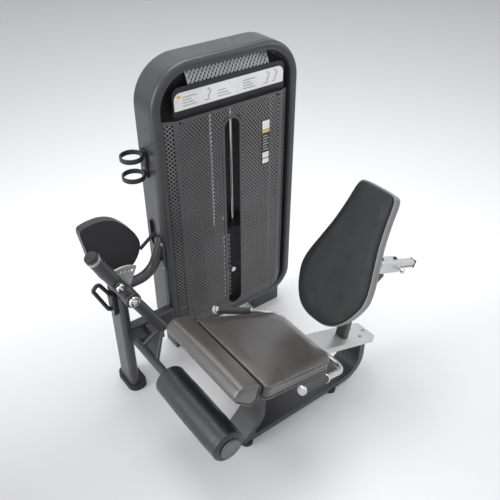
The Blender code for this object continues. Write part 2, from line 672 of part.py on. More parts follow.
def make_lever(lever_joint, pin_joint):
    counter = rod("counterweight_arm", lever_point(0.290), lever_point(-0.020), COUNTER_R, "frame_paint",
                  joint=lever_joint, sides=24)
    hub = rod("lever_hub", (PIVOT.x, 0.1950, PIVOT.z), (PIVOT.x, 0.2760, PIVOT.z), 0.034, "frame_paint",
              sides=24)
    notch = box("pin_notch", (-0.021, -0.08, 0.070), (0.08, -0.0130, 0.135), "rubber", group=CUTTERS,
                place=Matrix.Translation((PIVOT.x, LEVER_Y, PIVOT.z)) @ Matrix.Rotation(-LEVER_LEAN, 4, "Y"))
    hub_bore = rod("hub_bore", (PIVOT.x, 0.15, PIVOT.z), (PIVOT.x, 0.30, PIVOT.z), 0.0153, "rubber",
                   group=CUTTERS)
    spot = lever_point(PIN_RADIUS)
    pin_bore = rod("range_pin_bore", (spot.x, 0.17, spot.z), (spot.x, 0.30, spot.z), 0.0066, "rubber",
                   sides=16, group=CUTTERS)
    combine(counter, [hub], "UNION")
    combine(counter, [notch, hub_bore, pin_bore])
    cap_start = lever_point(COUNTER_LENGTH + GAP)
    rod("counterweight_cap", cap_start, lever_point(COUNTER_LENGTH + 0.012), COUNTER_R - 0.001,
        "black_plastic", joint=lever_joint, sides=24, edge=0.004)
    turned("pivot_cap", [(0.0, 0.010), (0.020, 0.010), (0.026, 0.006), (0.026, 0.0), (0.0, 0.0)],
           (PIVOT.x, 0.1930, PIVOT.z), "chrome", joint=lever_joint,
           axis_turn=Matrix.Rotation(math.radians(90), 4, "X"))

    arm_line = (KNEE - Vector((PIVOT.x, LEVER_Y, PIVOT.z))).normalized()
    start = Vector((PIVOT.x, LEVER_Y, PIVOT.z)) + arm_line * 0.040
    arm = rod("lower_arm", start, KNEE + arm_line * 0.004, ARM_R, "frame_paint", joint=lever_joint,
              sides=24)
    clear = rod("arm_clearance", lever_point(0.3), lever_point(-0.020 - GAP), COUNTER_R + GAP, "rubber",
                sides=24, group=CUTTERS)
    hub_clear = rod("hub_clearance", (PIVOT.x, 0.15, PIVOT.z), (PIVOT.x, 0.30, PIVOT.z), 0.034 + GAP,
                    "rubber", sides=24, group=CUTTERS)
    make_yoke(arm)
    combine(arm, [clear, hub_clear])

    knob = [(0.0, 0.030), (0.015, 0.030), (0.0185, 0.026), (0.0185, 0.012), (0.013, 0.006), (0.0062, 0.004),
            (0.0062, -0.0550), (0.0, -0.0562)]
    turned("range_pin", knob, (spot.x, LEVER_Y - 0.0135 + 0.0005, spot.z), "chrome", joint=pin_joint,
           steps=20, axis_turn=Matrix.Rotation(math.radians(90), 4, "X"))


def make_yoke(arm):
    """Two bars and a gusset from the knee to the roller axle, welded to the lower arm."""
    near, far = (AXLE_X, 0.110, AXLE_Z), (AXLE_X, 0.238, AXLE_Z)
    bar = rod("yoke_bar", KNEE, far, 0.0125, "frame_paint", sides=16)
    brace = rod("yoke_brace", KNEE, near, 0.0110, "frame_paint", sides=16)
    middle = Vector((AXLE_X, LEVER_Y, AXLE_Z))
    reach = (middle - KNEE).length
    along = (middle - KNEE).normalized()
    across = along.cross(Vector((0, 1, 0)))
    place = Matrix(((along.x, 0, across.x, KNEE.x), (along.y, 1, across.y, KNEE.y),
                    (along.z, 0, across.z, KNEE.z), (0, 0, 0, 1)))
    web = plate("yoke_gusset", [[(0.02, 0), (reach, far[1] - LEVER_Y), (reach, near[1] - LEVER_Y)]],
                0.006, place, "frame_paint")
    axle_room = rod("axle_clearance", (AXLE_X, 0.05, AXLE_Z), (AXLE_X, 0.30, AXLE_Z), AXLE_R + GAP,
                    "rubber", sides=24, group=CUTTERS)
    combine(arm, [bar, brace, web], "UNION")
    return combine(arm, [axle_room])


def make_roller(lever_joint, roller_joint):
    to_y = Matrix.Rotation(math.radians(90), 4, "X")     # profile height runs towards -Y
    low, high = ROLLER_Y
    axle = [(0.0, -low + 0.006), (SPINDLE_R, -low + 0.006), (SPINDLE_R, -high - 0.002),
            (AXLE_R, -high - 0.002), (AXLE_R, -0.285), (0.0, -0.285)]
    turned("roller_axle", axle, (AXLE_X, 0, AXLE_Z), "frame_paint", joint=lever_joint, steps=24,
           axis_turn=to_y)
    core = [(SPINDLE_R + 0.0004, -low), (0.0205, -low), (0.0205, -high), (SPINDLE_R + 0.0004, -high)]
    turned("roller_core", core, (AXLE_X, 0, AXLE_Z), "black_plastic", joint=roller_joint, steps=24,
           axis_turn=to_y)
    edge = 0.010
    skin = [(0.0205 + GAP, -low), (ROLLER_R - edge, -low), (ROLLER_R - 0.003, -low - 0.003),
            (ROLLER_R, -low - edge), (ROLLER_R, -high + edge), (ROLLER_R - 0.003, -high + 0.003),
            (ROLLER_R - edge, -high), (0.0205 + GAP, -high)]
    turned("roller_pad", skin, (AXLE_X, 0, AXLE_Z), "roller_skin", joint=roller_joint, steps=24,
           axis_turn=to_y)
    hub = [(0.0, 0.009), (0.040, 0.009), (0.044, 0.006), (0.044, 0.0), (0.0185, 0.0), (0.0185, 0.0068),
           (0.0, 0.0068)]
    turned("roller_hub", hub, (AXLE_X, low - GAP, AXLE_Z), "black_plastic", joint=roller_joint, steps=24,
           axis_turn=to_y)


# ---------------------------------------------------------------- seat
def rail_cutter(name):
    """The space above the rail's underside, for pieces that end at it."""
    return box(name, (-0.3, -0.3, -RAIL_TOP - RAIL_THICK - GAP), (1.2, 0.3, 0.4), "rubber",
               place=seat_frame(), group=CUTTERS)


def make_seat_base():
    outline = rounded([(-0.270, 0.46), (-0.270, 0.130), (-0.350, 0.050), (-0.350, BASE_LOW),
                       (0.367, BASE_LOW), (0.367, 0.30), (0.335, 0.30), (0.335, 0.052),
                       (-0.312, 0.052), (-0.238, 0.125), (-0.238, 0.46)],
                      [0, 0.12, 0.025, 0.010, 0.125, 0, 0, 0.095, 0.012, 0.09, 0], 7)
    base = side_plate("seat_base", [outline], (SEAT_Y - BASE_HALF, SEAT_Y + BASE_HALF), "frame_paint",
                      edge=0.010)
    combine(base, [rail_cutter("rail_above_base")])
    low, high = SEAT_Y - BASE_HALF - 0.006, SEAT_Y + BASE_HALF + 0.006
    for name, x0 in (("front_foot", -0.352), ("rear_foot", 0.150)):
        floor_plate(name, [rectangle((x0, low), (x0 + 0.056, high), 0.0275)], (0, BASE_LOW - GAP), "rubber",
                    edge=0.003)


def make_seat_rail():
    """Silver rail that carries the seat and the back mast."""
    place = seat_frame() @ Matrix.Translation((0, 0, -RAIL_TOP - RAIL_THICK / 2))
    outline = rectangle((RAIL_START, -RAIL_HALF), (RAIL_END, RAIL_HALF), (0.012, 0.016, 0.016, 0.012))
    plate("seat_rail", [outline], RAIL_THICK, place, "silver_paint", edge=0.006, segments=2)


def seat_outline(inset=0.0):
    front, rear = 0.248 - inset, 0.190 - inset
    corners = [(inset, -front), (SEAT_LENGTH - inset, -rear), (SEAT_LENGTH - inset, rear),
               (inset, front)]
    return rounded(corners, [0.020, 0.060, 0.060, 0.020], 6)


def make_seat():
    pad_place = seat_frame() @ Matrix.Translation((0, 0, -SEAT_THICK / 2))
    plate("seat_pad", [seat_outline()], SEAT_THICK, pad_place, "leather", edge=0.016)
    board_z = -SEAT_THICK - GAP - (BOARD - 2 * GAP) / 2
    plate("seat_board", [seat_outline(0.012)], BOARD - 2 * GAP,
          seat_frame() @ Matrix.Translation((0, 0, board_z)), "black_plastic")


def make_thigh_pad():
    outline = rounded([(-0.3808, 0.5763), (-0.4800, 0.6105), (-0.5220, 0.5640), (-0.4420, 0.4900),
                       (-0.4086, 0.4960)], [0.016, 0.030, 0.024, 0.012, 0.012], 5)
    side_plate("thigh_pad", [outline], (-0.450, 0.035), "leather", edge=0.010)
    bracket = rounded([(-0.4920, 0.5330), (-0.4425, 0.4860), (-0.4120, 0.4915), (-0.318, 0.4530),
                       (-0.318, 0.400), (-0.420, 0.440)], [0.004, 0.004, 0.004, 0.004, 0.004, 0.03], 3)
    bracket = side_plate("thigh_bracket", [bracket], (SEAT_Y - 0.075, SEAT_Y + 0.075), "frame_paint")
    rail_end = box("rail_end_room", (RAIL_START - GAP, -0.2, -0.3), (0.3, 0.2, 0.1), "rubber",
                   place=seat_frame(), group=CUTTERS)
    combine(bracket, [rail_end])


def handle_points(side):
    """Across the rail behind the seat, out past its corner, then forward along its side."""
    inner = Vector((0.050, SEAT_Y + side * 0.002, 0.3665))
    corner = Vector((0.052, SEAT_Y + side * 0.222, 0.374))
    tip = Vector((-0.250, SEAT_Y + side * 0.288, 0.511))
    reach = 0.055
    start = corner + (inner - corner).normalized() * reach
    end = corner + (tip - corner).normalized() * reach
    bend = []
    for step in range(7):
        t = step / 6
        bend.append(start * (1 - t) ** 2 + corner * 2 * t * (1 - t) + end * t ** 2)
    return [inner] + bend + [tip]


def make_handles():
    for side, name in ((-1, "left"), (1, "right")):
        points = handle_points(side)
        tip = points[-1]
        along = (points[-1] - points[-2]).normalized()
        grip_start = tip - along * 0.180
        tube = bent_tube("handle_" + name, points, 0.0125, "chrome", resolution=3)
        sleeve = rod("grip_" + name, grip_start, tip - along * 0.010, 0.0165, "grip", sides=24)
        core = rod("grip_core_" + name, grip_start - along * 0.02, tip + along * 0.02, 0.0125 + GAP,
                   "rubber", sides=24, group=CUTTERS)
        combine(sleeve, [core])
        button = rod("grip_cap_" + name, tip - along * 0.006, tip + along * 0.006, 0.0190, "chrome",
                     sides=24, edge=0.003)
        combine(tube, [button], "UNION")


# ---------------------------------------------------------------- back rest
def back_outline(inset=0.0):
    """Spoon shape: wide at the lower back, narrow at the shoulders."""
    right = [(0.0, 0.0), (0.062, 0.006), (0.115, 0.034), (0.158, 0.090), (0.1880, 0.170),
             (0.1840, 0.240), (0.159, 0.329), (0.1330, 0.420), (0.1150, 0.515), (0.1040, 0.595),
             (0.088, 0.626), (0.050, 0.632)]
    left = [(-x, y) for x, y in right[:0:-1]]
    middle_y = 0.632 / 2
    scale_x = 1 - inset / 0.19
    scale_y = 1 - inset / middle_y
    ring = smooth_closed(right + [(0.0, 0.633)] + left, 2)
    return [(x * scale_x, middle_y + (y - middle_y) * scale_y) for x, y in ring]


def make_back_rest(back_joint):
    frame = back_frame()
    plate("back_pad", [back_outline()], BACK_THICK, frame @ Matrix.Translation((0, 0, -BACK_THICK / 2)),
          "back_leather", joint=back_joint, edge=0.012)
    shell_z = -BACK_THICK - GAP - SHELL_THICK / 2
    plate("back_shell", [back_outline(0.006)], SHELL_THICK, frame @ Matrix.Translation((0, 0, shell_z)),
          "black_plastic", joint=back_joint, edge=0.006, segments=2)

    rail = slider_frame()
    half = SLIDER_HALF
    slider = box("back_slider", (-SLIDER_LENGTH, -half, -half), (0, half, half), "silver_paint",
                 joint=back_joint, edge=0.007, place=rail)
    holes = []
    for i in range(6):
        x = -0.020 - i * 0.0185
        hole = rod(f"slider_hole_{i}", rail @ Vector((x, -0.05, -0.006)), rail @ Vector((x, 0.05, -0.006)),
                   0.0048, "rubber", sides=12, group=CUTTERS)
        holes.append(hole)
    shell_back = -BACK_THICK - SHELL_THICK - 2 * GAP
    clear = box("bracket_room", (-0.3, -0.3, shell_back - 0.006), (0.3, 0.9, 0.3), "rubber", place=frame,
                group=CUTTERS)
    bracket = box("back_bracket", (-0.045, 0.150, shell_back - 0.012), (0.045, 0.300, shell_back),
                  "silver_paint", edge=0.003, place=frame)
    combine(slider, holes + [clear])
    return combine(slider, [bracket], "UNION")


def make_mast(pop_joint):
    """Curved mast from the rail up to the slider's sleeve."""
    rail = slider_frame()
    outer, inner = 0.030, SLIDER_HALF + 0.0008
    path = rounded([(0.262, 0.262), (0.300, 0.470), (0.470, 0.568)], 0.10, 7, closed=False)
    mast = side_plate("back_mast", [strip(path, 0.040)], (SEAT_Y - 0.028, SEAT_Y + 0.028), "frame_paint",
                      edge=0.008, segments=2)
    room = box("rail_below_mast", (-0.3, -0.3, -0.5), (1.2, 0.3, -RAIL_TOP + GAP), "rubber",
               place=seat_frame(), group=CUTTERS)
    combine(mast, [room])
    sleeve = box("slider_sleeve", (-0.290, -outer, -outer), (-0.132, outer, outer), "silver_paint",
                 edge=0.006, place=rail)
    channel = box("sleeve_channel", (-0.40, -inner, -inner), (-0.05, inner, inner), "rubber", place=rail,
                  group=CUTTERS)
    pin_x = -0.1495
    pin_bore = rod("pop_pin_bore", rail @ Vector((pin_x, 0, -0.006)), rail @ Vector((pin_x, -0.06, -0.006)),
                   0.0052, "rubber", sides=12, group=CUTTERS)
    combine(mast, [sleeve], "UNION")
    combine(mast, [channel, pin_bore])
    knob = [(0.0, 0.034), (0.010, 0.034), (0.0130, 0.030), (0.0130, 0.016), (0.007, 0.012), (0.007, 0.002),
            (0.0045, 0.0), (0.0045, -0.0080), (0.0, -0.0085)]
    spot = rail @ Vector((pin_x, -outer - 0.0010, -0.006))
    turned("pop_pin", knob, spot, "chrome", joint=pop_joint, steps=16,
           axis_turn=Matrix.Rotation(math.radians(90), 4, "X"))


# ---------------------------------------------------------------- assembly
def make_joints():
    pin_z = STACK_Z + (PLATES_RESTING + 0.5) * PLATE_PITCH
    cam = joint_empty("cam_joint", (PIVOT.x, LEVER_Y, PIVOT.z))
    lever = joint_empty("lever_joint", (PIVOT.x, LEVER_Y, PIVOT.z), cam)
    spot = lever_point(PIN_RADIUS)
    carriage = joint_empty("carriage_joint", (SLOT_X, BELT_Y, STACK_Z))
    back = joint_empty("back_joint", SLIDER_END)
    return {
        "cam": cam,
        "lever": lever,
        "range_pin": joint_empty("range_pin_joint", spot, lever),
        "roller": joint_empty("roller_joint", (AXLE_X, 0, AXLE_Z), lever),
        "carriage": carriage,
        "selector_pin": joint_empty("selector_pin_joint", (SLOT_X, STACK_Y[0], pin_z), carriage),
        "idler_pulley": joint_empty("idler_joint", (RISE_X - PULLEY_R, BELT_Y, IDLER_Z)),
        "top_pulley_left": joint_empty("top_left_joint", (RISE_X + PULLEY_R, BELT_Y, TOP_PULLEY_Z)),
        "top_pulley_right": joint_empty("top_right_joint", (SLOT_X - PULLEY_R, BELT_Y, TOP_PULLEY_Z)),
        "back": back,
        "pop_pin": joint_empty("pop_pin_joint", slider_frame() @ Vector((-0.1495, -0.031, -0.006))),
    }


def main():
    joints = make_joints()
    make_tower_frame()
    make_shroud()
    make_covers()
    make_guides()
    make_weights(joints["carriage"], joints["selector_pin"])
    make_belt_drive(joints)
    make_cup_holder()
    make_post()
    make_brace()
    make_beams()
    make_rod_handle()
    make_cam(joints["cam"])
    make_lever(joints["lever"], joints["range_pin"])
    make_roller(joints["lever"], joints["roller"])
    make_seat_base()
    make_seat_rail()
    make_seat()
    make_thigh_pad()
    make_handles()
    make_back_rest(joints["back"])
    make_mast(joints["pop_pin"])


clear_scene()
PARTS = new_collection("leg_extension_machine")
CUTTERS = new_collection("cutters")
main()
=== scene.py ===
"""Looks of the leg extension machine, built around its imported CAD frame.

Metres, +Z up.  The user sits facing -X and the weight tower is on the +Y side.
"""
import json
import math

import bmesh
import bpy
from mathutils import Matrix, Vector, noise


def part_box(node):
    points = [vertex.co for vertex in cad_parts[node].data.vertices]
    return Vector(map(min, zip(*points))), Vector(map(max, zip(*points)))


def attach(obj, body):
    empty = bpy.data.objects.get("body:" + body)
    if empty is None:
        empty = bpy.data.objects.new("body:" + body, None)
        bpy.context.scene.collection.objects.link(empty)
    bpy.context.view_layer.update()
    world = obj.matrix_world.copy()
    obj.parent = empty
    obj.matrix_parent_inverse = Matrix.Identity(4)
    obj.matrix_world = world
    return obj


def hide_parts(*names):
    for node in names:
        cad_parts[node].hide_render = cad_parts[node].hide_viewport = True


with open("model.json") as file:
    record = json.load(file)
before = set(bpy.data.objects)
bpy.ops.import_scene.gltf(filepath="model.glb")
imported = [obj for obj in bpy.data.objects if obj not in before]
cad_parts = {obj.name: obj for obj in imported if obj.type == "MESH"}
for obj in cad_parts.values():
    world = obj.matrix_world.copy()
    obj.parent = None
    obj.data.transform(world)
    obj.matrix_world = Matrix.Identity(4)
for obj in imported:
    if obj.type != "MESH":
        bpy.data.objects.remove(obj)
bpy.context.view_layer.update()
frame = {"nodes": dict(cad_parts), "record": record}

# ---------------------------------------------------------------- driving dimensions
SHARP = math.radians(32)
TO_XZ = Matrix.Rotation(math.radians(90), 4, "X")      # a plate's outline x, y -> world X, Z
TO_YZ = Matrix.Rotation(math.radians(90), 4, "Z") @ TO_XZ      # a plate's outline x, y -> world Y, Z
TO_Y = Matrix.Rotation(math.radians(90), 4, "X")       # a turned profile's height runs to -Y

TOWER_LOW, TOWER_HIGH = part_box("tower_frame")
TOWER_SIDE = TOWER_LOW.x
TOWER_FRONT, TOWER_BACK = TOWER_LOW.y, TOWER_HIGH.y
TOWER_FOOT_Z = 0.112
LOOP_WALL = 0.042
LOOP_RADII = (0.13, 0.13, 0.19, 0.19)

SHROUD_Y = 0.3695
SHROUD_X = (-0.200, 0.350)              # the flat front, between its two bends
SHROUD_Z = (0.160, 1.268)
WING_LEFT, WING_RIGHT = (-0.250, 0.396), (0.388, 0.384)
SLOT_X, SLOT_HALF, SLOT_Z = 0.078, 0.040, (0.178, 1.208)
HOLE_PITCH = (0.0160, 0.0195)
MESH_SHARE, MESH_DEPTH = 0.70, 0.0010   # how much of its cell a hole takes, and the sheet's thickness

BELT_Y = 0.468
PLATE_PITCH = 0.0265
STACK_Z = 0.186
PLATES_RESTING, PLATES_LIFTED = 7, 8
STACK_HALF_X, STACK_Y = 0.150, (0.415, 0.503)
ROD_OFFSET, ROD_Y = 0.055, 0.459

PIVOT = Vector((-0.560, 0.235, 0.630))
SHAFT_BORE = 0.0153
CAM_Y = (0.4520, 0.4920)
LEAN = math.radians(27)
KNEE = Vector((-0.425, 0.235, 0.380))
AXLE = Vector((-0.535, 0.0, 0.316))
PIN_RADIUS = 0.100
HOLE_STEP = math.radians(11.25)
POST_X, POST_Y, POST_TOP = (-0.583, -0.537), (0.300, 0.425), 0.575

SEAT_Y = -0.225
SEAT_TILT = math.radians(19.1)
SEAT_FRONT = Vector((-0.377, SEAT_Y, 0.575))
SEAT_LENGTH, SEAT_THICK = 0.436, 0.065
RAIL_TOP, RAIL_THICK = 0.073, 0.030
BASE_HALF = 0.062
BASE_LOW = 0.022
BACK_TILT = math.radians(29.5)
BACK_BOTTOM = Vector((0.060, SEAT_Y, 0.495))
BACK_THICK, SHELL_THICK = 0.046, 0.016
SLIDER_TILT = math.radians(21.5)
SLIDER_END = Vector((0.707, SEAT_Y, 0.502))
SLIDER_HALF, SLIDER_LENGTH = 0.020, 0.530

PAD_VOXEL = 0.0055
CLOTH_FRAMES = 20
SWELL_SHARE = 0.35           # of the slack cover's swelling, as the cover is pulled taut

scene = bpy.context.scene


# ---------------------------------------------------------------- outlines
def arc(centre, radius, start, end, steps):
    turn = (end - start) / steps
    return [(centre[0] + radius * math.cos(start + i * turn),
             centre[1] + radius * math.sin(start + i * turn)) for i in range(steps + 1)]


def circle(centre, radius, steps=32):
    return arc(centre, radius, 0, 2 * math.pi * (steps - 1) / steps, steps - 1)


def fillet(before, corner, after, radius, steps):
    corner = Vector(corner)
    back = (Vector(before) - corner).normalized()
    ahead = (Vector(after) - corner).normalized()
    half = back.angle(ahead) / 2
    centre = corner + (back + ahead).normalized() * radius / math.sin(half)
    first = corner + back * radius / math.tan(half) - centre
    last = corner + ahead * radius / math.tan(half) - centre
    start = math.atan2(first.y, first.x)
    sweep = (math.atan2(last.y, last.x) - start + math.pi) % (2 * math.pi) - math.pi
    return arc(centre, radius, start, start + sweep, steps)


def rounded(corners, radii, steps=10, closed=True):
    """An outline or path with each corner rounded to its own radius."""
    if not isinstance(radii, (list, tuple)):
        radii = [radii] * len(corners)
    points = []
    last = len(corners) - 1
    for i, (corner, radius) in enumerate(zip(corners, radii)):
        if radius <= 0 or (not closed and i in (0, last)):
            points.append(tuple(corner))
            continue
        points += fillet(corners[i - 1], corner, corners[(i + 1) % len(corners)], radius, steps)
    return points


def rectangle(low, high, radii, steps=8):
    corners = [(low[0], low[1]), (high[0], low[1]), (high[0], high[1]), (low[0], high[1])]
    return rounded(corners, radii, steps)


def slot_outline(x, half, low, high, steps=24):
    top = arc((x, high - half), half, 0, math.pi, steps)
    return top + arc((x, low + half), half, math.pi, 2 * math.pi, steps)


def strip(path, thickness):
    """The outline of a bar that follows a path in its plane."""
    left, right = [], []
    for i, point in enumerate(path):
        here = Vector(point)
        back = here - Vector(path[i - 1]) if i else Vector(path[1]) - here
        ahead = Vector(path[i + 1]) - here if i < len(path) - 1 else back
        along = (back.normalized() + ahead.normalized()).normalized()
        reach = thickness / 2 / max(0.5, along.dot(ahead.normalized()))
        side = Vector((-along.y, along.x)) * reach
        left.append(tuple(here + side))
        right.append(tuple(here - side))
    return left + right[::-1]


def smooth_closed(points, steps=8):
    """Catmull-Rom curve through a closed ring of points."""
    ring = [Vector(point) for point in points]
    count = len(ring)
    curve = []
    for i in range(count):
        a, b, c, d = (ring[(i + k) % count] for k in (-1, 0, 1, 2))
        for step in range(steps):
            t = step / steps
            curve.append(tuple(0.5 * ((2 * b) + (c - a) * t + (2 * a - 5 * b + 4 * c - d) * t ** 2
                                      + (3 * b - a - 3 * c + d) * t ** 3)))
    return curve


def grown(outline, distance):
    """An outline moved outwards, or inwards where distance is negative."""
    ring = [Vector(point) for point in outline]
    area = sum(a.x * b.y - b.x * a.y for a, b in zip(ring, ring[1:] + ring[:1]))
    sign = 1 if area > 0 else -1
    moved = []
    for i, here in enumerate(ring):
        along = (ring[(i + 1) % len(ring)] - ring[i - 1]).normalized()
        moved.append((here.x + sign * along.y * distance, here.y - sign * along.x * distance))
    return moved


# ---------------------------------------------------------------- materials
def node(tree, kind, **values):
    made = tree.nodes.new(kind)
    for key, value in values.items():
        if key in made.inputs:
            made.inputs[key].default_value = value
        else:
            setattr(made, key, value)
    return made


def noise_node(tree, scale, detail=4.0, roughness=0.5, stretch=(1, 1, 1)):
    """3-D noise in the piece's own space."""
    where = node(tree, "ShaderNodeTexCoord")
    mapping = node(tree, "ShaderNodeMapping")
    mapping.inputs["Scale"].default_value = stretch
    made = node(tree, "ShaderNodeTexNoise", Scale=scale, Detail=detail, Roughness=roughness)
    tree.links.new(where.outputs["Object"], mapping.inputs["Vector"])
    tree.links.new(mapping.outputs["Vector"], made.inputs["Vector"])
    return made


def remap(tree, source, low, high, start=0.0, end=1.0):
    made = node(tree, "ShaderNodeMapRange")
    made.inputs["From Min"].default_value = start
    made.inputs["From Max"].default_value = end
    made.inputs["To Min"].default_value = low
    made.inputs["To Max"].default_value = high
    tree.links.new(source, made.inputs["Value"])
    return made.outputs["Result"]


def tint(tree, factor, dark, light):
    made = node(tree, "ShaderNodeMix", data_type="RGBA")
    colours = [socket for socket in made.inputs if socket.type == "RGBA"]
    colours[0].default_value = (*dark, 1)
    colours[1].default_value = (*light, 1)
    tree.links.new(factor, made.inputs["Factor"])
    return [socket for socket in made.outputs if socket.type == "RGBA"][0]


def bump(tree, height, strength, distance, after=None):
    made = node(tree, "ShaderNodeBump", Strength=strength, Distance=distance)
    tree.links.new(height, made.inputs["Height"])
    if after:
        tree.links.new(after, made.inputs["Normal"])
    return made.outputs["Normal"]


def start_material(name, metallic=0.0, coat=0.0, coat_roughness=0.1, sheen=0.0):
    made = bpy.data.materials.new(name)
    made.use_nodes = True
    shader = made.node_tree.nodes["Principled BSDF"]
    shader.inputs["Metallic"].default_value = metallic
    shader.inputs["Coat Weight"].default_value = coat
    shader.inputs["Coat Roughness"].default_value = coat_roughness
    shader.inputs["Sheen Weight"].default_value = sheen
    return made, made.node_tree, shader


def finish_material(made, colour, roughness, normal):
    tree = made.node_tree
    shader = tree.nodes["Principled BSDF"]
    tree.links.new(colour, shader.inputs["Base Color"])
    tree.links.new(roughness, shader.inputs["Roughness"])
    tree.links.new(normal, shader.inputs["Normal"])
    return made


def scaled(colour, share):
    return tuple(min(1.0, part * share) for part in colour)


def powder_coat(name, colour, roughness, metallic=0.3, grain=0.25, coat=0.0):
    """Paint with a fine orange peel, faint handling marks and slow colour drift."""
    made, tree, _ = start_material(name, metallic, coat, 0.15)
    drift = noise_node(tree, 5.0, 3.0)
    marks = noise_node(tree, 28.0, 8.0, 0.7)
    peel = noise_node(tree, 1400.0, 2.0)
    waves = noise_node(tree, 160.0, 2.0)
    shade = tint(tree, remap(tree, drift.outputs["Fac"], 0, 1, 0.3, 0.7), scaled(colour, 0.9),
                 scaled(colour, 1.1))
    rough = remap(tree, marks.outputs["Fac"], roughness - 0.05, roughness + 0.09, 0.3, 0.75)
    fine = bump(tree, peel.outputs["Fac"], grain, 0.0004)
    return finish_material(made, shade, rough, bump(tree, waves.outputs["Fac"], grain * 0.3, 0.0006, fine))


def polished(name, colour, roughness):
    """Bright metal with faint smears."""
    made, tree, _ = start_material(name, 1.0)
    smear = noise_node(tree, 22.0, 6.0, 0.65)
    lines = noise_node(tree, 500.0, 2.0)
    shade = tint(tree, smear.outputs["Fac"], scaled(colour, 0.93), colour)
    rough = remap(tree, smear.outputs["Fac"], roughness * 0.6, roughness * 1.7, 0.3, 0.75)
    return finish_material(made, shade, rough, bump(tree, lines.outputs["Fac"], 0.03, 0.0002))


def ground_steel(name, colour, roughness, stretch=(1, 1, 30)):
    """Steel with grinding lines."""
    made, tree, _ = start_material(name, 1.0)
    lines = noise_node(tree, 60.0, 6.0, 0.7, stretch)
    drift = noise_node(tree, 9.0, 3.0)
    shade = tint(tree, drift.outputs["Fac"], scaled(colour, 0.8), scaled(colour, 1.1))
    rough = remap(tree, lines.outputs["Fac"], roughness - 0.08, roughness + 0.12, 0.25, 0.75)
    return finish_material(made, shade, rough, bump(tree, lines.outputs["Fac"], 0.12, 0.0003))


def moulded(name, colour, roughness, grain=0.3, scale=900.0, coat=0.0):
    """Plastic or rubber with the fine texture of its mould."""
    made, tree, _ = start_material(name, 0.0, coat, 0.2)
    drift = noise_node(tree, 7.0, 3.0)
    cells = node(tree, "ShaderNodeTexVoronoi", Scale=scale)
    where = node(tree, "ShaderNodeTexCoord")
    tree.links.new(where.outputs["Object"], cells.inputs["Vector"])
    rub = noise_node(tree, 35.0, 6.0, 0.65)
    shade = tint(tree, drift.outputs["Fac"], scaled(colour, 0.8), scaled(colour, 1.25))
    rough = remap(tree, rub.outputs["Fac"], roughness - 0.06, roughness + 0.1, 0.3, 0.7)
    return finish_material(made, shade, rough, bump(tree, cells.outputs["Distance"], grain, 0.0005))


def hide(name, colour, roughness, grain_scale, grain, sheen=0.0, coat=0.0):
    """Upholstery skin: pebbled grain, creased between the pebbles with painted shade in the creases, and
    polished where it is touched.
    """
    made, tree, _ = start_material(name, 0.0, coat, 0.30, sheen)
    where = node(tree, "ShaderNodeTexCoord")
    warp = noise_node(tree, grain_scale * 0.35, 3.0)
    shift = node(tree, "ShaderNodeVectorMath", operation="MULTIPLY_ADD")
    shift.inputs[1].default_value = (0.004, 0.004, 0.004)
    tree.links.new(warp.outputs["Color"], shift.inputs[0])
    tree.links.new(where.outputs["Object"], shift.inputs[2])
    pebbles = node(tree, "ShaderNodeTexVoronoi", Scale=grain_scale, feature="DISTANCE_TO_EDGE")
    tree.links.new(shift.outputs["Vector"], pebbles.inputs["Vector"])
    crease = remap(tree, pebbles.outputs["Distance"], 0, 1, 0.0, 0.12)
    drift = noise_node(tree, 6.0, 4.0, 0.6)
    worn = noise_node(tree, 14.0, 5.0, 0.6)
    slow = tint(tree, remap(tree, drift.outputs["Fac"], 0, 1, 0.3, 0.7), scaled(colour, 0.86),
                scaled(colour, 1.14))
    # painted shade: the colour is darkened to 0.72 in the creases between the pebbles
    dark = node(tree, "ShaderNodeMix", data_type="RGBA", blend_type="MULTIPLY")
    colours = [socket for socket in dark.inputs if socket.type == "RGBA"]
    tree.links.new(slow, colours[0])
    tree.links.new(tint(tree, crease, (0.72, 0.72, 0.72), (1, 1, 1)), colours[1])
    dark.inputs["Factor"].default_value = 1.0
    rough = remap(tree, worn.outputs["Fac"], roughness - 0.07, roughness + 0.1, 0.3, 0.7)
    fine = noise_node(tree, grain_scale * 3, 3.0)
    first = bump(tree, crease, grain, 0.0005)
    skin = bump(tree, fine.outputs["Fac"], grain * 0.4, 0.0003, first)
    return finish_material(made, [s for s in dark.outputs if s.type == "RGBA"][0], rough, skin)


def woven_belt(name, colour):
    """Ribbed drive belt."""
    made, tree, _ = start_material(name)
    ribs = node(tree, "ShaderNodeTexWave", Scale=160.0, bands_direction="Y")
    where = node(tree, "ShaderNodeTexCoord")
    tree.links.new(where.outputs["Object"], ribs.inputs["Vector"])
    drift = noise_node(tree, 40.0, 5.0)
    shade = tint(tree, drift.outputs["Fac"], scaled(colour, 0.7), scaled(colour, 1.5))
    rough = remap(tree, drift.outputs["Fac"], 0.5, 0.75)
    return finish_material(made, shade, rough, bump(tree, ribs.outputs["Fac"], 0.5, 0.0006))


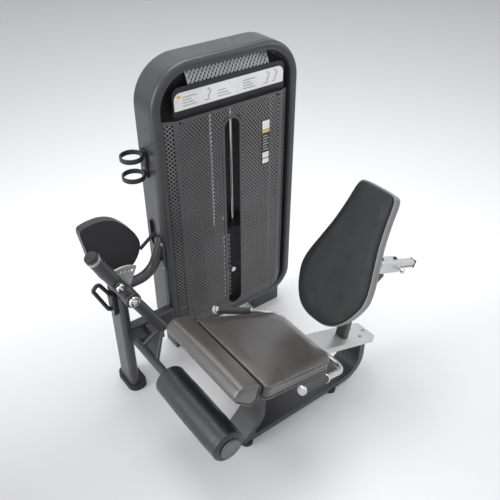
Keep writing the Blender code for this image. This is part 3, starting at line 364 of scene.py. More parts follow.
LOOKS = {name: make(name, *settings) for name, make, *settings in (
    ("frame_paint", powder_coat, (0.072, 0.073, 0.075), 0.34, 0.45, 0.20),
    ("shroud_paint", powder_coat, (0.105, 0.105, 0.108), 0.44, 0.35, 0.22),
    ("silver_paint", powder_coat, (0.62, 0.62, 0.615), 0.33, 0.6, 0.15),
    ("plated", powder_coat, (0.62, 0.62, 0.615), 0.30, 0.75, 0.10),
    ("cam_paint", powder_coat, (0.034, 0.034, 0.036), 0.42, 0.2, 0.25),
    ("vent_paint", powder_coat, (0.42, 0.425, 0.425), 0.42, 0.3, 0.2),
    ("mesh_paint", powder_coat, (0.215, 0.212, 0.212), 0.36, 0.5, 0.15),
    ("satin", polished, (0.62, 0.62, 0.62), 0.26),
    # painted light: light grey for the back band and tray, lighter than the cushion to stand for light
    # falling on the pad's sides
    ("trim", powder_coat, (0.250, 0.252, 0.256), 0.32, 0.3, 0.10),
    ("chrome", polished, (0.80, 0.80, 0.81), 0.10),
    ("steel", ground_steel, (0.50, 0.50, 0.51), 0.33),
    ("cast_iron", powder_coat, (0.030, 0.030, 0.032), 0.52, 0.3, 0.5),
    ("black_plastic", moulded, (0.016, 0.016, 0.018), 0.42, 0.3),
    ("hub_plastic", moulded, (0.120, 0.122, 0.124), 0.32, 0.2),
    ("rubber", moulded, (0.018, 0.018, 0.019), 0.72, 0.4, 600.0),
    ("belt", woven_belt, (0.014, 0.014, 0.015)),
    ("grip", moulded, (0.070, 0.073, 0.075), 0.62, 0.5, 1100.0),
    ("leather", hide, (0.062, 0.056, 0.052), 0.36, 420.0, 0.22, 0.0, 0.9),
    ("back_leather", hide, (0.007, 0.008, 0.009), 0.50, 480.0, 0.30),
    ("roller_skin", hide, (0.014, 0.016, 0.019), 0.40, 620.0, 0.18, 0.0, 0.3),
    ("white_card", moulded, (0.86, 0.86, 0.85), 0.32, 0.05, 300.0, 0.4),
    ("print_grey", moulded, (0.42, 0.43, 0.44), 0.40, 0.05, 300.0),
    ("print_gold", moulded, (0.72, 0.50, 0.10), 0.40, 0.05, 300.0),
)}


# ---------------------------------------------------------------- pieces
def link(name, mesh):
    obj = bpy.data.objects.new(name, mesh)
    scene.collection.objects.link(obj)
    return obj


def evaluated(obj):
    """The object's mesh as its modifiers leave it."""
    bpy.context.view_layer.update()
    graph = bpy.context.evaluated_depsgraph_get()
    return bpy.data.meshes.new_from_object(obj.evaluated_get(graph))


def settle(obj):
    """Apply every modifier."""
    mesh = evaluated(obj)
    obj.modifiers.clear()
    obj.data = mesh
    return obj


def from_bmesh(name, work):
    mesh = bpy.data.meshes.new(name)
    bmesh.ops.recalc_face_normals(work, faces=work.faces)
    work.to_mesh(mesh)
    work.free()
    return link(name, mesh)


def from_curve(name, curve, place):
    holder = link(name + "_curve", curve)
    mesh = evaluated(holder)
    bpy.data.objects.remove(holder, do_unlink=True)
    work = bmesh.new()
    work.from_mesh(mesh)
    bmesh.ops.remove_doubles(work, verts=work.verts, dist=0.00003)
    bmesh.ops.transform(work, matrix=place, verts=work.verts)
    return from_bmesh(name, work)


def bevel(obj, width, segments=4):
    edge = obj.modifiers.new("rounded_edges", "BEVEL")
    edge.width = width
    edge.segments = segments
    edge.limit_method = "ANGLE"
    edge.angle_limit = math.radians(40)
    return settle(obj)


def plate(name, loops, thickness, place, edge=0.0, segments=4):
    """A flat outline with holes, extruded equally to both sides of its plane."""
    curve = bpy.data.curves.new(name, "CURVE")
    curve.dimensions = "2D"
    curve.fill_mode = "BOTH"
    curve.extrude = thickness / 2
    for loop in loops:
        spline = curve.splines.new("POLY")
        spline.points.add(len(loop) - 1)
        for point, (u, v) in zip(spline.points, loop):
            point.co = (u, v, 0, 1)
        spline.use_cyclic_u = True
    obj = from_curve(name, curve, place)
    return bevel(obj, edge, segments) if edge else obj


def side_plate(name, loops, low, high, **options):
    """A plate drawn in X and Z that fills a range of Y."""
    return plate(name, loops, high - low, Matrix.Translation((0, (low + high) / 2, 0)) @ TO_XZ, **options)


def floor_plate(name, loops, low, high, **options):
    """A plate drawn in X and Y that fills a range of Z."""
    return plate(name, loops, high - low, Matrix.Translation((0, 0, (low + high) / 2)), **options)


def box(name, low, high, edge=0.0, segments=4, place=None):
    low, high = Vector(low), Vector(high)
    work = bmesh.new()
    size = Matrix.Diagonal((*(high - low), 1))
    bmesh.ops.create_cube(work, size=1, matrix=Matrix.Translation((low + high) / 2) @ size)
    if place:
        bmesh.ops.transform(work, matrix=place, verts=work.verts)
    obj = from_bmesh(name, work)
    return bevel(obj, edge, segments) if edge else obj


def rod(name, start, end, radius, edge=0.0, sides=64, end_radius=None):
    start, end = Vector(start), Vector(end)
    along = end - start
    turn = Vector((0, 0, 1)).rotation_difference(along).to_matrix().to_4x4()
    work = bmesh.new()
    bmesh.ops.create_cone(work, cap_ends=True, segments=sides, radius1=radius,
                          radius2=radius if end_radius is None else end_radius,
                          depth=along.length, matrix=Matrix.Translation((start + end) / 2) @ turn)
    obj = from_bmesh(name, work)
    return bevel(obj, edge, 3) if edge else obj


def tube(name, points, radius, resolution=8, cyclic=False):
    """A round tube along a list of points."""
    curve = bpy.data.curves.new(name, "CURVE")
    curve.dimensions = "3D"
    curve.bevel_depth = radius
    curve.bevel_resolution = resolution
    curve.use_fill_caps = True
    spline = curve.splines.new("POLY")
    spline.points.add(len(points) - 1)
    for point, place in zip(spline.points, points):
        point.co = (*place, 1)
    spline.use_cyclic_u = cyclic
    return from_curve(name, curve, Matrix.Identity(4))


def turned(name, profile, centre, turn=Matrix.Identity(4), steps=64):
    """A turned piece; the profile runs (radius, height)."""
    mesh = bpy.data.meshes.new(name)
    edges = [(i, i + 1) for i in range(len(profile) - 1)]
    if profile[0][0] > 0:
        edges.append((len(profile) - 1, 0))
    mesh.from_pydata([(radius, 0, height) for radius, height in profile], edges, [])
    obj = link(name, mesh)
    spin = obj.modifiers.new("turn", "SCREW")
    spin.steps = steps
    spin.render_steps = steps
    spin.use_merge_vertices = True
    spin.merge_threshold = 0.00002
    settle(obj)
    work = bmesh.new()
    work.from_mesh(obj.data)
    bmesh.ops.remove_doubles(work, verts=work.verts, dist=0.00002)
    bmesh.ops.recalc_face_normals(work, faces=work.faces)
    bmesh.ops.transform(work, matrix=Matrix.Translation(centre) @ turn, verts=work.verts)
    work.to_mesh(obj.data)
    work.free()
    return obj


def mirrored(profile):
    """A turned profile followed by its mirror image, which closes it."""
    return profile + [(radius, -height) for radius, height in profile[::-1]]


def carve(obj, cutters, operation="DIFFERENCE"):
    """Cut, join or intersect with other objects, which are used up."""
    for cutter in cutters:
        step = obj.modifiers.new("shape", "BOOLEAN")
        step.operation = operation
        step.solver = "EXACT"
        step.object = cutter
    settle(obj)
    for cutter in cutters:
        bpy.data.objects.remove(cutter, do_unlink=True)
    return obj


def gather(name, objects):
    """Several solids as one object."""
    work = bmesh.new()
    for obj in objects:
        work.from_mesh(obj.data)
        bpy.data.objects.remove(obj, do_unlink=True)
    mesh = bpy.data.meshes.new(name)
    work.to_mesh(mesh)
    work.free()
    return link(name, mesh)


def dress(obj, look, body="frame", stands_for=(), soft=False):
    """Finish a piece: its material, its shading, the body it rides on and the CAD it stands for."""
    obj.data.materials.clear()
    obj.data.materials.append(LOOKS[look])
    obj.data.shade_smooth()
    if not soft:
        obj.data.set_sharp_from_angle(angle=SHARP)
        even = obj.modifiers.new("even_normals", "WEIGHTED_NORMAL")
        even.keep_sharp = True
    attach(obj, body)
    if stands_for:
        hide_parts(*([stands_for] if isinstance(stands_for, str) else stands_for))
    return obj


def rubber_foot(name, packed, radius, steps, edge):
    """A foot that fills the box of its CAD piece."""
    low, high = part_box(packed)
    outline = rectangle((low.x, low.y), (high.x, high.y), radius, steps)
    dress(floor_plate(name, [outline], low.z, high.z, edge=edge), "rubber", stands_for=packed)


def toward(direction):
    return Vector((0, 0, 1)).rotation_difference(Vector(direction)).to_matrix().to_4x4()


def bolt(name, place, direction, radius=0.008, look="steel", body="frame"):
    """Socket-head button bolt with a washer, standing on a face."""
    head, flat, socket = radius, radius * 1.45, radius * 0.42
    profile = [(0.0, radius * 0.25), (socket, radius * 0.25), (socket, radius * 0.72),
               (head * 0.72, radius * 0.66), (head * 0.95, radius * 0.42), (head, radius * 0.22),
               (flat, radius * 0.22), (flat, 0.0), (0.0, 0.0)]
    return dress(turned(name, profile, place, toward(direction), 32), look, body)


def hex_nut(name, place, direction, radius=0.009, look="steel", body="frame"):
    """Hexagon head over a washer."""
    turn = Matrix.Translation(place) @ toward(direction)
    hexagon = plate(name, [circle((0, 0), radius, 6)], radius * 0.8,
                    turn @ Matrix.Translation((0, 0, radius * 0.62)), edge=radius * 0.12, segments=2)
    washer = plate(name + "_w", [circle((0, 0), radius * 1.25, 32)], radius * 0.2,
                   turn @ Matrix.Translation((0, 0, radius * 0.1)))
    return dress(gather(name, [hexagon, washer]), look, body)


# ---------------------------------------------------------------- weight tower
def loop_outline(inset, steps=20):
    low = (TOWER_SIDE + inset, TOWER_FOOT_Z + inset)
    high = (TOWER_HIGH.x - inset, TOWER_HIGH.z - inset)
    return rectangle(low, high, [radius - inset for radius in LOOP_RADII], steps)


def sweep_loop(name, section, steps=20):
    """Carry a section of (inset, y) points round the tower's outline."""
    work = bmesh.new()
    rings = []
    for inset, y in section:
        rings.append([work.verts.new((x, y, z)) for x, z in loop_outline(inset, steps)])
    count = len(rings[0])
    for a, b in zip(rings, rings[1:] + rings[:1]):
        for i in range(count):
            k = (i + 1) % count
            work.faces.new((a[i], a[k], b[k], b[i]))
    return from_bmesh(name, work)


def make_tower():
    front, back, wall = TOWER_FRONT, TOWER_BACK, LOOP_WALL
    section = arc((0.020, front + 0.020), 0.020, -math.pi / 2, -math.pi, 10)
    section += [(0.0, front + 0.0230), (0.0026, front + 0.0240), (0.0030, front + 0.0265),
                (0.0006, front + 0.0285), (0.0, front + 0.0300), (0.0, back - 0.010)]
    section += arc((0.010, back - 0.010), 0.010, math.pi, math.pi / 2, 5)[1:]
    section += [(wall - 0.004, back), (wall, back - 0.004), (wall, front + 0.0200)]
    section += arc((wall - 0.013, front + 0.0130), 0.013, 0, -math.pi / 2, 7)
    loop = sweep_loop("tower_loop", section)
    opening = plate("belt_window", [slot_outline(BELT_Y, 0.020, 0.655, 0.785, 12)], 0.12,
                    Matrix.Translation((TOWER_SIDE, 0, 0)) @ TO_YZ)
    carve(loop, [opening])
    dress(loop, "frame_paint", stands_for="tower_frame")
    for side, x in (("left", TOWER_SIDE + 0.039), ("right", TOWER_HIGH.x - 0.039)):
        width = 0.164 if side == "left" else -0.164
        low, high = sorted((x, x + width))
        outline = rectangle((low, 0), (high, 0.150), (0.004, 0.004, 0.03, 0.03))
        foot = side_plate("tower_foot_" + side, [outline], 0.420, 0.515, edge=0.004)
        dress(foot, "frame_paint")
    slot = rounded([(BELT_Y - 0.024, 0.648), (BELT_Y + 0.024, 0.648), (BELT_Y + 0.024, 0.792),
                    (BELT_Y - 0.024, 0.792)], 0.0235, 10)
    place = Matrix.Translation((TOWER_SIDE - 0.0008, 0, 0)) @ TO_YZ
    guard = plate("belt_window_rim", [slot, grown(slot, -0.0045)], 0.003, place, edge=0.0008, segments=2)
    dress(guard, "black_plastic")


def perforate(name, inside, pitch, reach, place):
    """A sheet of diamond holes where inside(u, v) holds; place puts (u, v, depth) in space."""
    wide, tall = pitch[0] / 2, pitch[1] / 2
    work = bmesh.new()
    corners = {}

    def corner(i, j):
        if (i, j) not in corners:
            corners[i, j] = work.verts.new(place(i * wide, j * tall, 0))
        return corners[i, j]

    (u0, v0), (u1, v1) = reach
    steps = ((1, 0), (0, 1), (-1, 0), (0, -1))
    for j in range(math.floor(v0 / tall), math.ceil(v1 / tall) + 1):
        for i in range(math.floor(u0 / wide), math.ceil(u1 / wide) + 1):
            u, v = i * wide, j * tall
            if (i + j) % 2 or not inside(u, v):
                continue
            ring = [corner(i + a, j + b) for a, b in steps]
            inner = [(u + a * wide * MESH_SHARE, v + b * tall * MESH_SHARE) for a, b in steps]
            rim = [work.verts.new(place(x, y, 0)) for x, y in inner]
            wall = [work.verts.new(place(x, y, MESH_DEPTH)) for x, y in inner]
            for k in range(4):
                n = (k + 1) % 4
                work.faces.new((ring[k], ring[n], rim[n], rim[k]))
                work.faces.new((rim[k], rim[n], wall[n], wall[k]))
    mesh = bpy.data.meshes.new(name)
    work.to_mesh(mesh)
    work.free()
    return link(name, mesh)


def shroud_low(x):
    """Lower edge of the shroud, which has one round corner on each side."""
    radius = 0.085
    left, right = WING_LEFT[0] - 0.002 + radius, WING_RIGHT[0] + 0.002 - radius
    away = max(0.0, left - x, x - right)
    return SHROUD_Z[0] + radius - math.sqrt(max(0.0, radius ** 2 - away ** 2))


def print_label(name, low, high, radius, look):
    """A plain block printed on the label of the shroud."""
    mark = rectangle(low, high, radius, 3)
    dress(side_plate(name, [mark], SHROUD_Y - 0.0025, SHROUD_Y - 0.0021), look)


def make_shroud():
    low, high = SHROUD_X[0], SHROUD_X[1]
    bottom = [(low + (high - low) * i / 24, shroud_low(low + (high - low) * i / 24)) for i in range(25)]
    outer = bottom + [(high, SHROUD_Z[1]), (low, SHROUD_Z[1])]
    window = rectangle((low + 0.014, SHROUD_Z[0] + 0.052), (high - 0.010, SHROUD_Z[1] - 0.012), 0.012)
    rim = slot_outline(SLOT_X, SLOT_HALF + 0.012, SLOT_Z[0] - 0.006, SLOT_Z[1] + 0.012)
    slot = slot_outline(SLOT_X, SLOT_HALF, *SLOT_Z)
    border = side_plate("shroud_border", [outer, window], SHROUD_Y - 0.0018, SHROUD_Y, edge=0.0005,
                        segments=2)
    cutter = side_plate("slot_cutter", [slot], SHROUD_Y - 0.02, SHROUD_Y + 0.02)
    carve(border, [cutter])
    dress(border, "shroud_paint", stands_for="front_shroud")
    lip = side_plate("slot_rim", [rim, slot], SHROUD_Y - 0.0032, SHROUD_Y + 0.003, edge=0.0010, segments=2)
    dress(lip, "shroud_paint")

    def in_field(x, z):
        in_slot = abs(x - SLOT_X) < SLOT_HALF + 0.004 and SLOT_Z[0] < z < SLOT_Z[1] + 0.004
        in_sheet = low + 0.008 < x < high - 0.004 and SHROUD_Z[0] + 0.046 < z < SHROUD_Z[1] - 0.006
        return in_sheet and not in_slot

    field = perforate("shroud_mesh", in_field, HOLE_PITCH, ((low, 0.15), (high, SHROUD_Z[1])),
                      lambda u, v, d: (u, SHROUD_Y - 0.0012 + d, v))
    dress(field, "mesh_paint")

    for side, start, end, pitch in (("left", WING_LEFT, (low, SHROUD_Y), (0.0220, 0.0195)),
                                    ("right", (high, SHROUD_Y), WING_RIGHT, (0.0180, 0.0195))):
        start, end = Vector(start), Vector(end)
        along = (end - start).normalized()
        length = (end - start).length
        normal = Vector((-along.y, along.x))
        place = Matrix(((along.x, 0, -normal.x, start.x), (along.y, 0, -normal.y, start.y), (0, 1, 0, 0),
                        (0, 0, 0, 1)))
        foot = [(length * i / 12, shroud_low(start.x + along.x * length * i / 12)) for i in range(13)]
        border = foot + [(length, SHROUD_Z[1]), (0, SHROUD_Z[1])]
        inner = rectangle((0.008, 0.262), (length - 0.008, SHROUD_Z[1] - 0.016), 0.004, 3)
        wing = plate("shroud_wing_" + side, [border, inner], 0.0020, place, edge=0.0005, segments=2)
        dress(wing, "shroud_paint")
        mesh = perforate(f"wing_mesh_{side}", lambda u, v: 0.006 < u < length - 0.006
                         and 0.256 < v < SHROUD_Z[1] - 0.010, pitch,
                         ((0, 0.2), (length, SHROUD_Z[1])),
                         lambda u, v, d: place @ Vector((u, v, 0))
                         + Vector((normal.x * d, normal.y * d, 0)))
        dress(mesh, "mesh_paint")
    for i, (x, z) in enumerate(((low + 0.022, 1.255), (high - 0.022, 1.255), (low + 0.03, 0.186),
                                (high - 0.03, 0.186))):
        bolt(f"shroud_screw_{i}", (x, SHROUD_Y - 0.0018, z), (0, -1, 0), 0.0042, "black_plastic")
    sticker = rectangle((0.243, 0.930), (0.288, 1.150), 0.004, 4)
    dress(side_plate("range_label", [sticker], SHROUD_Y - 0.0022, SHROUD_Y - 0.0014), "black_plastic")
    blocks = (((0.2455, 1.105), (0.2855, 1.147), "white_card"),
              ((0.2455, 1.088), (0.2855, 1.103), "print_gold"),
              ((0.2475, 0.962), (0.2835, 0.990), "white_card"),
              ((0.2475, 0.934), (0.2835, 0.957), "white_card"))
    for i, (low, high, look) in enumerate(blocks):
        print_label(f"label_block_{i}", low, high, 0.002, look)
    for i in range(6):
        z = 1.003 + i * 0.0135
        print_label(f"label_line_{i}", (0.249, z), (0.282 - 0.007 * (i % 2), z + 0.0045), 0.0015,
                    "print_grey")


def make_covers():
    outline = loop_outline(LOOP_WALL + 0.005)
    cover = side_plate("back_sheet", [outline], 0.510, 0.513, edge=0.001, segments=2)
    # the rear cover is black plastic, and its black also gives the inside of the tower, seen through the
    # mesh, its shade: painted shade
    dress(cover, "black_plastic", stands_for="rear_cover")
    panel = rectangle((-0.160, 0.330), (0.310, 1.300), 0.040)
    raised = side_plate("back_sheet_panel", [panel], 0.5128, 0.5165, edge=0.0032, segments=4)
    dress(raised, "black_plastic")
    for i in range(7):
        z = 0.420 + i * 0.022
        louvre = rectangle((-0.060, z), (0.210, z + 0.008), 0.0038, 6)
        dress(side_plate(f"back_louvre_{i}", [louvre], 0.5163, 0.5185, edge=0.001, segments=2),
              "black_plastic")
    for i, (x, z) in enumerate([(x, z) for x in (-0.222, 0.372) for z in (0.32, 0.66, 1.00, 1.28)]):
        bolt(f"back_screw_{i}", (x, 0.5130, z), (0, 1, 0), 0.005, "black_plastic")

    for name, packed, radius, steps, edge, segments, look in (
            ("header_sheet", "header_panel", 0.135, 16, 0.001, 2, "black_plastic"),
            ("title_bar", "title_panel", 0.03, 12, 0.0012, 3, "black_plastic"),
            ("instruction_card", "placard", 0.03, 12, 0.0006, 2, "white_card")):
        low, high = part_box(packed)
        outline = rectangle((low.x, low.z), (high.x, high.z), (0.004, 0.004, radius, radius), steps)
        sheet = side_plate(name, [outline], low.y, high.y, edge=edge, segments=segments)
        dress(sheet, look, stands_for=packed)
    make_card_print(low, high)
    make_vent()


def make_card_print(low, high):
    """Plain blocks, rows and two simple machine outlines printed on the card."""
    face = low.y
    marks = []
    for i, x in enumerate((-0.150, 0.020, 0.150)):
        for row in range(4 - i % 2):
            z = low.z + 0.014 + row * 0.012
            marks.append(rectangle((x, z), (x + 0.066 - 0.012 * (row % 3), z + 0.0045), 0.0015, 3))
    for x in (-0.045, 0.262, 0.305):
        seat = strip([(x, low.z + 0.016), (x + 0.020, low.z + 0.016), (x + 0.020, low.z + 0.034)], 0.0042)
        back = strip([(x + 0.020, low.z + 0.030), (x + 0.032, low.z + 0.056)], 0.0060)
        marks += [seat, back, circle((x + 0.020, low.z + 0.060), 0.0050, 16)]
    printed = [side_plate(f"mark_{i}", [mark], face - 0.0004, face - 0.0001)
               for i, mark in enumerate(marks)]
    dress(gather("card_marks", printed), "print_grey")
    spot = rectangle((-0.176, high.z - 0.022), (-0.160, high.z - 0.010), 0.002, 3)
    dress(side_plate("card_spot", [spot], face - 0.0004, face - 0.0001), "print_gold")


def make_vent():
    """Sloping plate above the card, with rows of slanted oval holes."""
    lean = math.atan2(0.030, 0.066)
    place = Matrix.Translation((0, 0.405, 1.380)) @ Matrix.Rotation(-lean, 4, "X") @ TO_XZ
    holes = []
    slant = math.radians(58)
    for row in range(5):
        for column in range(21 - row % 2):
            x = -0.094 + column * 0.0196 + (row % 2) * 0.0098
            y = 0.012 + row * 0.0117
            half, radius = 0.0034, 0.0027
            left = arc((x + half * math.cos(slant), y + half * math.sin(slant)), radius,
                       slant - math.pi / 2, slant + math.pi / 2, 6)
            right = arc((x - half * math.cos(slant), y - half * math.sin(slant)), radius,
                        slant + math.pi / 2, slant + 3 * math.pi / 2, 6)
            holes.append(left + right)
    sheet = plate("vent_sheet", [rectangle((-0.107, 0), (0.310, 0.070), 0.004, 4)] + holes, 0.0025, place)
    dress(sheet, "vent_paint", stands_for="vent_plate")
    for x in (-0.101, 0.304):
        side = "left" if x < 0 else "right"
        where = place @ Vector((x, 0.035, 0.0013))
        bolt("vent_screw_" + side, where, place.to_3x3() @ Vector((0, 0, 1)), 0.0035, "steel")


def make_stack():
    """Weight plates one by one, with their bores, pin holes and white tags, and what hangs them. The tags
    are labels and also a painted highlight, a second bright mark on each plate.
    """
    split = STACK_Z + PLATES_RESTING * PLATE_PITCH
    top = split + PLATES_LIFTED * PLATE_PITCH
    outer = rectangle((SLOT_X - STACK_HALF_X, STACK_Y[0]), (SLOT_X + STACK_HALF_X, STACK_Y[1]), 0.006, 6)
    bores = [circle((SLOT_X, BELT_Y), 0.0115)]
    bores += [circle((SLOT_X + side * ROD_OFFSET, ROD_Y), 0.0100) for side in (-1, 1)]
    groups = (("resting", STACK_Z, PLATES_RESTING, "frame"), ("lifted", split, PLATES_LIFTED, "carriage"),
              ("top", top, 1, "carriage"))
    for name, low, count, body in groups:
        slabs, tags, eyes = [], [], []
        for i in range(count):
            z = low + i * PLATE_PITCH
            slabs.append(floor_plate(f"slab_{name}_{i}", [outer] + bores, z + 0.0006,
                                     z + PLATE_PITCH - 0.0008, edge=0.0022, segments=3))
            if name == "top":
                continue
            middle = z + PLATE_PITCH / 2
            # white tag on each plate's front: a label, and also a painted highlight that gives the plate a
            # second bright mark
            tags.append(box(f"tag_{name}_{i}", (SLOT_X - 0.030, STACK_Y[0] - 0.0006, middle - 0.0055),
                            (SLOT_X - 0.014, STACK_Y[0] + 0.001, middle + 0.0055)))
            ring = [(0.0062, 0.0), (0.0062, 0.0014), (0.0090, 0.0014), (0.0094, 0.0)]
            eyes.append(turned(f"eye_{name}_{i}", ring, (SLOT_X, STACK_Y[0], middle), TO_Y, 24))
        node_name = "top_plate" if name == "top" else name + "_plates"
        dress(gather("weights_" + name, slabs), "cast_iron", body, stands_for=node_name)
        if tags:
            dress(gather("weight_tags_" + name, tags), "white_card", body)
            dress(gather("pin_eyes_" + name, eyes), "steel", body)
    head_z = top + PLATE_PITCH
    stem = rod("stem", (SLOT_X, BELT_Y, STACK_Z + 0.004), (SLOT_X, BELT_Y, head_z + 0.01), 0.0100)
    holes = [rod(f"stem_hole_{i}", (SLOT_X, BELT_Y - 0.02, STACK_Z + (i + 0.5) * PLATE_PITCH),
                 (SLOT_X, BELT_Y + 0.02, STACK_Z + (i + 0.5) * PLATE_PITCH), 0.0058, sides=24)
             for i in range(PLATES_RESTING + PLATES_LIFTED)]
    dress(carve(stem, holes), "steel", "carriage", stands_for="selector_stem")
    outline = rectangle((SLOT_X - 0.040, head_z + 0.0003), (SLOT_X + 0.030, head_z + 0.070),
                        (0.004, 0.004, 0.016, 0.016))
    head = side_plate("stem_block", [outline], 0.452, 0.486, edge=0.003)
    dress(head, "black_plastic", "carriage")
    bolt("stem_block_bolt", (SLOT_X, 0.452, head_z + 0.045), (0, -1, 0), 0.007, "steel", "carriage")
    pin_z = split + PLATE_PITCH / 2
    profile = [(0.0, -0.040), (0.0100, -0.0398), (0.0130, -0.0385), (0.0145, -0.035), (0.0145, -0.021),
               (0.0135, -0.019), (0.009, -0.0165), (0.009, -0.008), (0.0055, -0.006), (0.0055, 0.0395),
               (0.0045, 0.0415), (0.0, 0.042)]
    profile = [(radius, -height) for radius, height in profile]
    dress(turned("pull_pin", profile, (SLOT_X, STACK_Y[0], pin_z), TO_Y, 48), "chrome", "selector_pin",
          stands_for="selector_pin")
    for side, name in ((-1, "guide_rod_left"), (1, "guide_rod_right")):
        x = SLOT_X + side * ROD_OFFSET
        low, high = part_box(name)
        dress(rod(name + "_bar", (x, ROD_Y, low.z), (x, ROD_Y, high.z), 0.0085, 0.001), "chrome",
              stands_for=name)
        collar = [(0.0088, 0.0), (0.015, 0.0), (0.0155, 0.002), (0.0155, 0.020), (0.014, 0.022),
                  (0.0088, 0.022)]
        dress(turned(name + "_collar", collar, (x, ROD_Y, 1.262), steps=32), "steel")


def make_pulleys():
    for name in ("idler_pulley", "top_pulley_left", "top_pulley_right"):
        low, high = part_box(name)
        centre, radius = (low + high) / 2, (high.x - low.x) / 2
        half = (high.y - low.y) / 2
        groove = radius - 0.007
        profile = mirrored([(0.0056, half), (0.012, half), (0.014, half - 0.002), (0.024, half - 0.003),
                            (0.032, half), (radius - 0.001, half), (radius, half - 0.0008),
                            (radius, half - 0.002), (groove, half - 0.0035)])
        dress(turned(name + "_wheel", profile, centre, TO_Y), "black_plastic", name, stands_for=name)


def make_cup_holder():
    side = TOWER_SIDE
    centre = (side - 0.062, BELT_Y)
    plate_low, plate_high = (side - 0.0110, 0.446, 1.012), (side - 0.0003, 0.490, 1.138)
    back = box("cup_bracket", plate_low, plate_high, 0.003)
    dress(back, "black_plastic", stands_for="cup_holder")
    hoop = mirrored([(0.0440, 0.0102), (0.0455, 0.0110), (0.0490, 0.0104), (0.0500, 0.0085)])
    for i, z in enumerate((1.030, 1.120)):
        dress(turned(f"cup_hoop_{i}", hoop, (*centre, z), steps=96), "black_plastic")
        arm = box(f"cup_arm_{i}", (side - 0.0155, 0.454, z - 0.008), (side - 0.004, 0.482, z + 0.008),
                  0.002)
        dress(arm, "black_plastic")
    for z in (1.052, 1.098):
        bolt(f"cup_bolt_{int(z * 1000)}", (side - 0.0110, BELT_Y, z), (-1, 0, 0), 0.0045, "steel")


# ---------------------------------------------------------------- post, brace and beams
def make_post():
    outline = rectangle((POST_X[0], POST_Y[0]), (POST_X[1], POST_Y[1]), 0.0215, 10)
    post = floor_plate("post_column", [outline], 0.0305, POST_TOP, edge=0.003, segments=3)
    dress(post, "frame_paint", stands_for="main_post")
    barrel = [(0.0160, 0.0), (0.0325, 0.0), (0.0340, 0.0015), (0.0340, 0.1235), (0.0325, 0.125),
              (0.0160, 0.125)]
    dress(turned("pivot_housing", barrel, (PIVOT.x, POST_Y[1], PIVOT.z), TO_Y), "frame_paint")
    neck = box("housing_neck", (PIVOT.x - 0.020, POST_Y[0] + 0.012, POST_TOP - 0.004),
               (PIVOT.x + 0.020, POST_Y[1] - 0.012, PIVOT.z - 0.028), 0.003)
    dress(neck, "frame_paint")
    for y, name in ((POST_Y[0], "near"), (POST_Y[1], "far")):
        ring = [(0.0160, 0.0), (0.0260, 0.0), (0.0260, 0.0015), (0.0160, 0.0015)]
        turn = TO_Y if name == "near" else toward((0, 1, 0))
        dress(turned("bearing_" + name, ring, (PIVOT.x, y, PIVOT.z), turn), "steel")
    rubber_foot("post_shoe", "post_foot", 0.040, 14, 0.006)
    path = rounded([(-0.590, 0.508), (-0.616, 0.508), (-0.672, 0.640), (-0.645, 0.668), (-0.597, 0.578)],
                   0.014, 10, closed=False)
    dress(tube("post_grab_rod", [(x, 0.345, z) for x, z in path], 0.0090), "black_plastic")
    block = box("post_grab_block", (-0.604, 0.318, 0.480), (POST_X[0] - 0.0003, 0.372, 0.592), 0.006)
    dress(block, "black_plastic", stands_for="post_handle_block")
    for y, z in ((0.345 - 0.018, 0.500), (0.345 + 0.018, 0.560)):
        bolt(f"grab_bolt_{int(z * 1000)}", (-0.604, y, z), (-1, 0, 0), 0.0050)


def make_brace():
    side = TOWER_SIDE
    path = rounded([(POST_X[1] + 0.0003, 0.545), (-0.365, 0.545), (-0.285, 0.720)], 0.110, 24, closed=False)
    brace = tube("brace_bar", [(x, 0.410, z) for x, z in path], 0.0245, 16)
    keep = box("brace_limit", (-0.60, 0.35, 0.50), (side - 0.004, 0.47, 0.80))
    carve(brace, [keep], "INTERSECT")
    dress(brace, "frame_paint", stands_for="brace_tube")
    pad = box("brace_flange", (side - 0.0105, 0.372, 0.560), (side - 0.0003, 0.446, 0.715), 0.003)
    dress(pad, "frame_paint")
    for z in (0.572, 0.703):
        bolt(f"brace_bolt_{int(z * 1000)}", (side - 0.0105, 0.380, z), (-1, 0, 0), 0.0055)


def make_beams():
    side = TOWER_SIDE
    beam = box("lower_beam", (POST_X[1] + 0.0003, 0.335, 0.245), (side - 0.0003, 0.390, 0.350), 0.012, 5)
    dress(beam, "frame_paint", stands_for="side_beam")
    dress(box("stop_bracket", (-0.465, 0.256, 0.288), (-0.405, 0.3355, 0.340), 0.005), "frame_paint")
    low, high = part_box("stop_bumper")
    y, z = (low.y + high.y) / 2, (low.z + high.z) / 2
    radius = (high.z - low.z) / 2
    length = high.x - low.x
    cone = [(0.0, length), (radius * 0.72, length), (radius * 0.8, length - 0.002), (radius, 0.012),
            (radius, 0.0), (0.0, 0.0)]
    dress(turned("stop_buffer", cone, (high.x, y, z), toward((-1, 0, 0)), 32), "rubber",
          stands_for="stop_bumper")
    low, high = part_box("seat_link")
    dress(box("link_tube", low, high, 0.010, 5), "frame_paint", stands_for="seat_link")


# ---------------------------------------------------------------- cam and lever
def on_pivot(y):
    """The point of the pivot's axis at a depth."""
    return (PIVOT.x, y, PIVOT.z)


def lever_point(distance):
    return Vector((PIVOT.x - distance * math.sin(LEAN), PIVOT.y, PIVOT.z + distance * math.cos(LEAN)))


def cam_outline():
    lobe = [(-0.020, -0.045), (-0.054, 0.030), (-0.071, 0.140), (-0.083, 0.226), (-0.062, 0.249),
            (0.010, 0.255), (0.072, 0.234), (0.125, 0.185), (0.165, 0.125), (0.180, 0.060),
            (0.150, -0.010), (0.090, -0.055), (0.025, -0.065)]
    return [(PIVOT.x + x, PIVOT.z + z) for x, z in smooth_closed(lobe, 12)]


